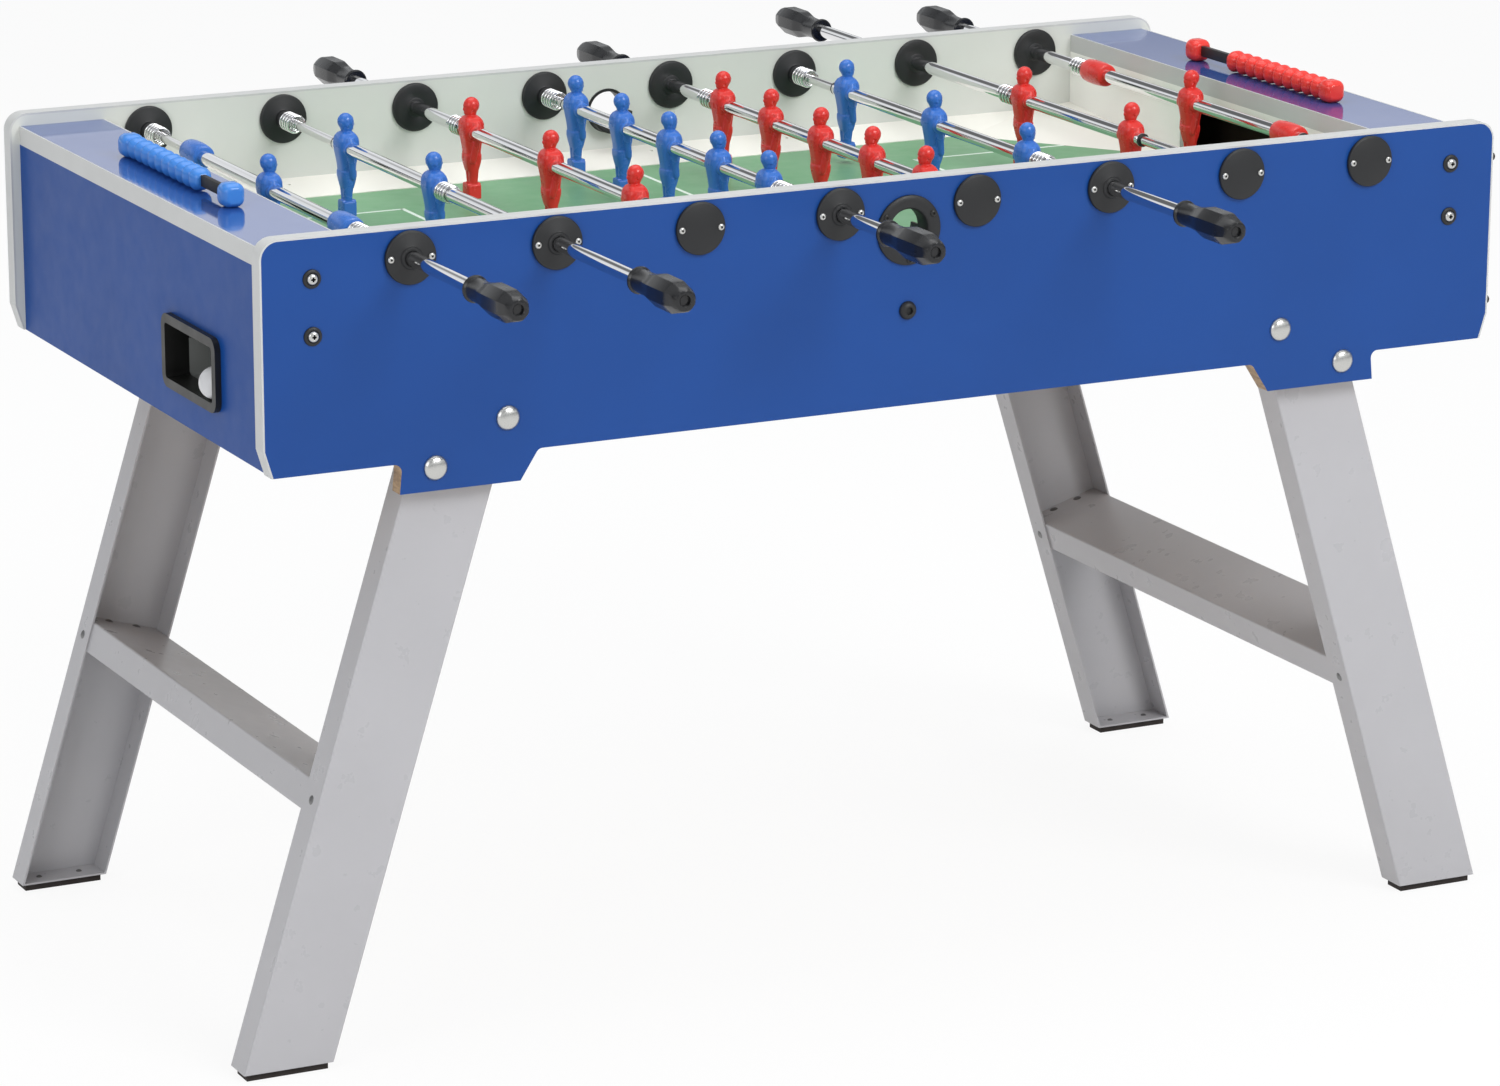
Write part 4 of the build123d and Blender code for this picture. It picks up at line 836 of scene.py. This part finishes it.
def build_panel_bolts():
    """The corner bolts in their cup washers and the black bolt under each ball entry."""
    cup = turned("cup_washer_pattern", [(0, 0), (9.4, 0), (9.8, -0.5), (9.4, -1.6), (7.8, -2.6), (6.4, -2.6),
                                        (6.0, -1.2), (0, -1.2)], BLACK, 48)
    button = pan_screw("button_pattern", 6.0, 4.2, ZINC)
    profile = [(0, 0), (9.6, 0), (9.8, -0.8), (9.4, -2.4), (8.0, -4.4), (6.2, -5.6), (4.4, -5.8), (3.9, -5.4),
               (3.6, -2.6), (0, -2.6)]
    black_bolt = turned("black_bolt_pattern", profile, BLACK, 48)
    in_cup = Matrix.Translation((0, -1.1 * MM, 0))
    for side, name in ((-1, "front"), (1, "back")):
        for end, x in (("left", -CORNER_BOLT_X), ("right", CORNER_BOLT_X)):
            for depth in CORNER_BOLT_DROPS:
                matrix = wall_matrix(side, x * MM, ROD_Z - depth * MM, side * OUTER_FACE)
                label = f"{name}_{end}_{depth}"
                place(cup, label + "_cup", "table", matrix, "panel_bolts")
                place(button, label + "_button", "table", matrix @ in_cup)
        matrix = wall_matrix(side, 0, ROD_Z - FIELD_BOLT_DROP * MM, side * OUTER_FACE)
        place(black_bolt, name + "_field_bolt", "table", matrix)
    drop(cup, button, black_bolt)


def build_buffers():
    """The rubber buffers on the right-hand end of the side panels."""
    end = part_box("edge_bands")[1].x
    middle = (PANEL_NEAR.y + PANEL_FAR.y) / 2
    profile = [(0, 0), (4.5, 0), (5.2, -2), (5.1, -4), (4.2, -6.4), (2.4, -7.8), (0, -8.2)]
    pattern = turned("buffer_pattern", profile, RUBBER, 32)
    turn = Matrix.Rotation(math.pi / 2, 4, "Z")
    for side, name in ((1, "front"), (-1, "back")):
        for depth in BUFFER_DROPS:
            matrix = Matrix.Translation((end, side * middle, ROD_Z - depth * MM)) @ turn
            place(pattern, f"{name}_buffer_{depth}", "table", matrix)
    drop(pattern)


def build_leg_bolts():
    """Domed bolt heads where the legs are held to the side panels' tabs."""
    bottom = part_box("edge_bands")[0].z
    dome = turned("dome_pattern", [(0, 0), (12.8, 0), (13.0, -0.5), (12.2, -2.4), (10.0, -4.3), (7.2, -5.5),
                                   (4.0, -6.2), (1.6, -6.4), (0, -6.4)], ZINC, 48, 60)
    for side, name in ((-1, "front"), (1, "back")):
        for mirror, end in ((-1, "left"), (1, "right")):
            for x, rise in LEG_BOLTS:
                matrix = wall_matrix(side, mirror * x * MM, bottom + rise * MM, side * OUTER_FACE)
                place(dome, f"{name}_{end}_dome_{x}", "table", matrix)
    drop(dome)


# ---------------------------------------------------------------- goal counters

def soft_block(name, size, corner, drawn_in, along, material):
    """A block along Y with big round corners across it, in mm. Its ends are drawn in by a smooth
    curve that reaches the given distance along the block."""
    wide, long, tall = size
    build = bmesh.new()
    corner_steps, end_steps = 8, 7
    stations = []
    for step in range(end_steps + 1):
        angle = math.pi / 2 * step / end_steps
        stations.append((along * (1 - math.cos(angle)), drawn_in * (1 - math.sin(angle)) ** 0.7))
    half = [(-long / 2 + back, inset) for back, inset in stations]
    rings = []
    for y, inset in half + [(-y, inset) for y, inset in reversed(half)]:
        vertices = []
        for quarter, (side_x, side_z) in enumerate(((1, 1), (-1, 1), (-1, -1), (1, -1))):
            for step in range(corner_steps + 1):
                angle = (quarter + step / corner_steps) * math.pi / 2
                x = side_x * (wide / 2 - corner) + (corner - inset) * math.cos(angle)
                z = side_z * (tall / 2 - corner) + (corner - inset) * math.sin(angle)
                vertices.append(build.verts.new((x * MM, y * MM, z * MM)))
        rings.append(vertices)
    stitch(build, rings)
    return to_object(name, build, material, 50)


def recoloured(pattern, material):
    mesh = pattern.data.copy()
    mesh.materials[0] = material
    return mesh


def build_counter(name, node, bead_mesh, block_mesh):
    """One goal counter: its beads on their bar, between two end blocks."""
    low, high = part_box(node)
    middle = (low + high) / 2
    length = BEAD_SIZE[1] * MM
    step = (high.y - low.y - length) / (BEAD_COUNT - 1)
    for index in range(BEAD_COUNT):
        piece = linked(f"{name}_bead_{index + 1}", bead_mesh)
        piece.matrix_world = Matrix.Translation((middle.x, low.y + length / 2 + index * step, middle.z))
        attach(piece, name + "_counter")
        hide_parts(node)
    x, z = middle.x / MM, middle.z / MM
    bar_low = (x - BAR_SIZE[0] / 2, -BAR_HALF_LENGTH, z - BAR_SIZE[1] / 2)
    bar_high = (x + BAR_SIZE[0] / 2, BAR_HALF_LENGTH, z + BAR_SIZE[1] / 2)
    bar = rounded_block(name + "_counter_bar", bar_low, bar_high, 0.8, BLACK)
    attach(bar, "table")
    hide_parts("counter_rails")
    block_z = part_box("end_top_boards")[1].z + END_BLOCK / 2 * MM
    for end, y in (("front", -END_BLOCK_Y * MM), ("back", END_BLOCK_Y * MM)):
        piece = linked(f"{name}_counter_end_{end}", block_mesh)
        piece.matrix_world = Matrix.Translation((middle.x, y, block_z))
        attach(piece, "table")


def build_counters():
    bead = soft_block("bead_pattern", BEAD_SIZE, 10.5, 7.5, 9.8, BEAD["blue"])
    end_block = soft_block("end_block_pattern", (END_BLOCK,) * 3, 9, 6, 7, BEAD["blue"])
    for team, name in (("blue", "left"), ("red", "right")):
        meshes = recoloured(bead, BEAD[team]), recoloured(end_block, BEAD[team])
        build_counter(name, name + "_counter_beads", *meshes)
    drop(bead, end_block)


# ---------------------------------------------------------------- playfield and ball

def print_line(build, z, start, end):
    """A flat line from one (x, y) in mm to another, along x or y, with square ends."""
    half = LINE_WIDTH / 2
    low_x, high_x = sorted((start[0], end[0]))
    low_y, high_y = sorted((start[1], end[1]))
    if low_x == high_x:
        low_x, high_x = low_x - half, high_x + half
    else:
        low_y, high_y = low_y - half, high_y + half
    corners = ((low_x, low_y), (high_x, low_y), (high_x, high_y), (low_x, high_y))
    build.faces.new([build.verts.new((x * MM, y * MM, z)) for x, y in corners])


def build_field():
    """The printed middle line and the two goal areas."""
    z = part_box("playfield")[1].z + LINE_LIFT * MM
    build = bmesh.new()
    print_line(build, z, (0, -MIDDLE_LINE_REACH), (0, MIDDLE_LINE_REACH))
    corner = AREA_Y + LINE_WIDTH / 2
    for side in (-1, 1):
        front, back = side * AREA_X[0], side * AREA_X[1]
        for y in (-AREA_Y, AREA_Y):
            print_line(build, z, (front, y), (back, y))
        print_line(build, z, (front, -corner), (front, corner))
    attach(to_object("field_lines", build, WHITE_LINE), "table")


def build_ball():
    low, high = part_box("ball")
    build = bmesh.new()
    bmesh.ops.create_icosphere(build, subdivisions=5, radius=(high.z - low.z) / 2)
    piece = to_object("game_ball", build, SHADED_BALL_WHITE, 80)
    piece.matrix_world = Matrix.Translation((low + high) / 2)
    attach(piece, "ball")
    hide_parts("ball")


def dress_cad():
    """The finish of each CAD node that is shown as it is."""
    finishes = {
        SIDE_BOARD: ("front_panel", "back_panel"), END_BOARD: ("left_end_panel", "right_end_panel"),
        SHEENED_BLUE_TOP: ("end_top_boards",), SILVER_EDGE: ("edge_bands",), WHITE_WALL: ("goal_walls",),
        RAW_WOOD: ("wooden_blocks", "cabinet_floor"), GREEN: ("playfield",), CREAM: ("field_ramps",),
        GREY_INSIDE: ("ball_channels",), FRAME_BLACK: ("ball_return_frame",), RUBBER: ("foot_pads",),
        PAINT: ("front_left_leg", "front_right_leg", "back_left_leg", "back_right_leg", "crossbars"),
        DARK_ZINC: ("frame_bolts",),
    }
    for material, nodes in finishes.items():
        for node in nodes:
            dress(node, material)


# ---------------------------------------------------------------- room

def area_light(name, location, target, size, power):
    light = bpy.data.lights.new(name, "AREA")
    light.shape = "RECTANGLE"
    light.size, light.size_y = size
    light.energy = power
    lamp = bpy.data.objects.new(name, light)
    bpy.context.scene.collection.objects.link(lamp)
    lamp.location = location
    direction = Vector(target) - Vector(location)
    lamp.rotation_euler = direction.to_track_quat("-Z", "Y").to_euler()


def seen_directly(tree):
    """1 for rays that show the floor itself, also in a mirror or through glass, and 0 for the rest."""
    path = tree.nodes.new("ShaderNodeLightPath")
    seen = path.outputs["Is Camera Ray"]
    for ray in ("Is Glossy Ray", "Is Transmission Ray"):
        total = tree.nodes.new("ShaderNodeMath")
        total.operation = "ADD"
        total.use_clamp = True
        tree.links.new(seen, total.inputs[0])
        tree.links.new(path.outputs[ray], total.inputs[1])
        seen = total.outputs[0]
    return seen


def floor_material():
    """Nearly white, and still dark enough where the table's shadow falls."""
    material, tree, shader = new_material("floor")
    shader.inputs["Base Color"].default_value = (0.92, 0.92, 0.92, 1)
    shader.inputs["Roughness"].default_value = 0.9
    shader.inputs["Specular IOR Level"].default_value = 0.1
    glow = add_node(tree, "ShaderNodeEmission", Color=(1, 1, 1, 1), Strength=1.0)
    weight = tree.nodes.new("ShaderNodeMath")
    weight.operation = "MULTIPLY"
    weight.inputs[1].default_value = 0.9
    tree.links.new(seen_directly(tree), weight.inputs[0])
    mix = tree.nodes.new("ShaderNodeMixShader")
    tree.links.new(weight.outputs[0], mix.inputs[0])
    tree.links.new(shader.outputs[0], mix.inputs[1])
    tree.links.new(glow.outputs[0], mix.inputs[2])
    tree.links.new(mix.outputs[0], tree.nodes["Material Output"].inputs["Surface"])
    return material


def build_floor():
    build = bmesh.new()
    reach = 30
    corners = ((-reach, -reach, 0), (reach, -reach, 0), (reach, reach, 0), (-reach, reach, 0))
    build.faces.new([build.verts.new(corner) for corner in corners])
    to_object("floor", build, floor_material())


def build_sky():
    """A studio in level bands, light and dark, which give the chrome its stripes."""
    world = bpy.data.worlds.new("studio")
    bpy.context.scene.world = world
    world.use_nodes = True
    sky = world.node_tree
    where = sky.nodes.new("ShaderNodeTexCoord")
    height = sky.nodes.new("ShaderNodeSeparateXYZ")
    bands = sky.nodes.new("ShaderNodeValToRGB")
    ramp = bands.color_ramp
    ramp.elements.remove(ramp.elements[0])
    ramp.elements[0].position = 0
    ramp.elements[0].color = (0.75, 0.77, 0.8, 1)
    for share, level in ((0.07, 0.7), (0.1, 0.15), (0.16, 0.12), (0.19, 1.3), (0.4, 1.2), (0.45, 0.25),
                         (0.56, 0.2), (0.62, 0.9), (1, 0.75)):
        ramp.elements.new(share).color = (level * 0.96, level * 0.98, level, 1)
    sky.links.new(where.outputs["Generated"], height.inputs[0])
    sky.links.new(height.outputs["Z"], bands.inputs["Fac"])
    background = sky.nodes["Background"]
    sky.links.new(bands.outputs["Color"], background.inputs["Color"])
    background.inputs["Strength"].default_value = 0.75


def build_lamps():
    area_light("key", (1.5, -4.5, 4.2), (0, 0, 0.7), (3.0, 2.0), 170)
    area_light("fill", (-4.5, -2.5, 2.6), (0, 0, 0.6), (2.5, 2.5), 45)
    area_light("top", (0, 0.5, 4.5), (0, 0, 0.8), (4.0, 3.0), 70)


def build_camera():
    camera = bpy.data.cameras.new("camera")
    view = bpy.data.objects.new("camera", camera)
    bpy.context.scene.collection.objects.link(view)
    view.location = CAMERA_PLACE
    view.rotation_euler = Euler((math.pi / 2 - CAMERA_TILT_DOWN, 0, CAMERA_TURN))
    camera.sensor_fit = "HORIZONTAL"
    camera.sensor_width = 36
    camera.lens = 134.69
    camera.shift_x = 0.0453
    camera.shift_y = 0.0767
    camera.clip_end = 100
    bpy.context.scene.camera = view
    bpy.context.scene.view_settings.view_transform = "Standard"


dress_cad()
build_rods()
build_discs()
build_entry_rings()
build_panel_bolts()
build_buffers()
build_leg_bolts()
build_counters()
build_field()
build_ball()
build_floor()
build_sky()
build_lamps()
build_camera()
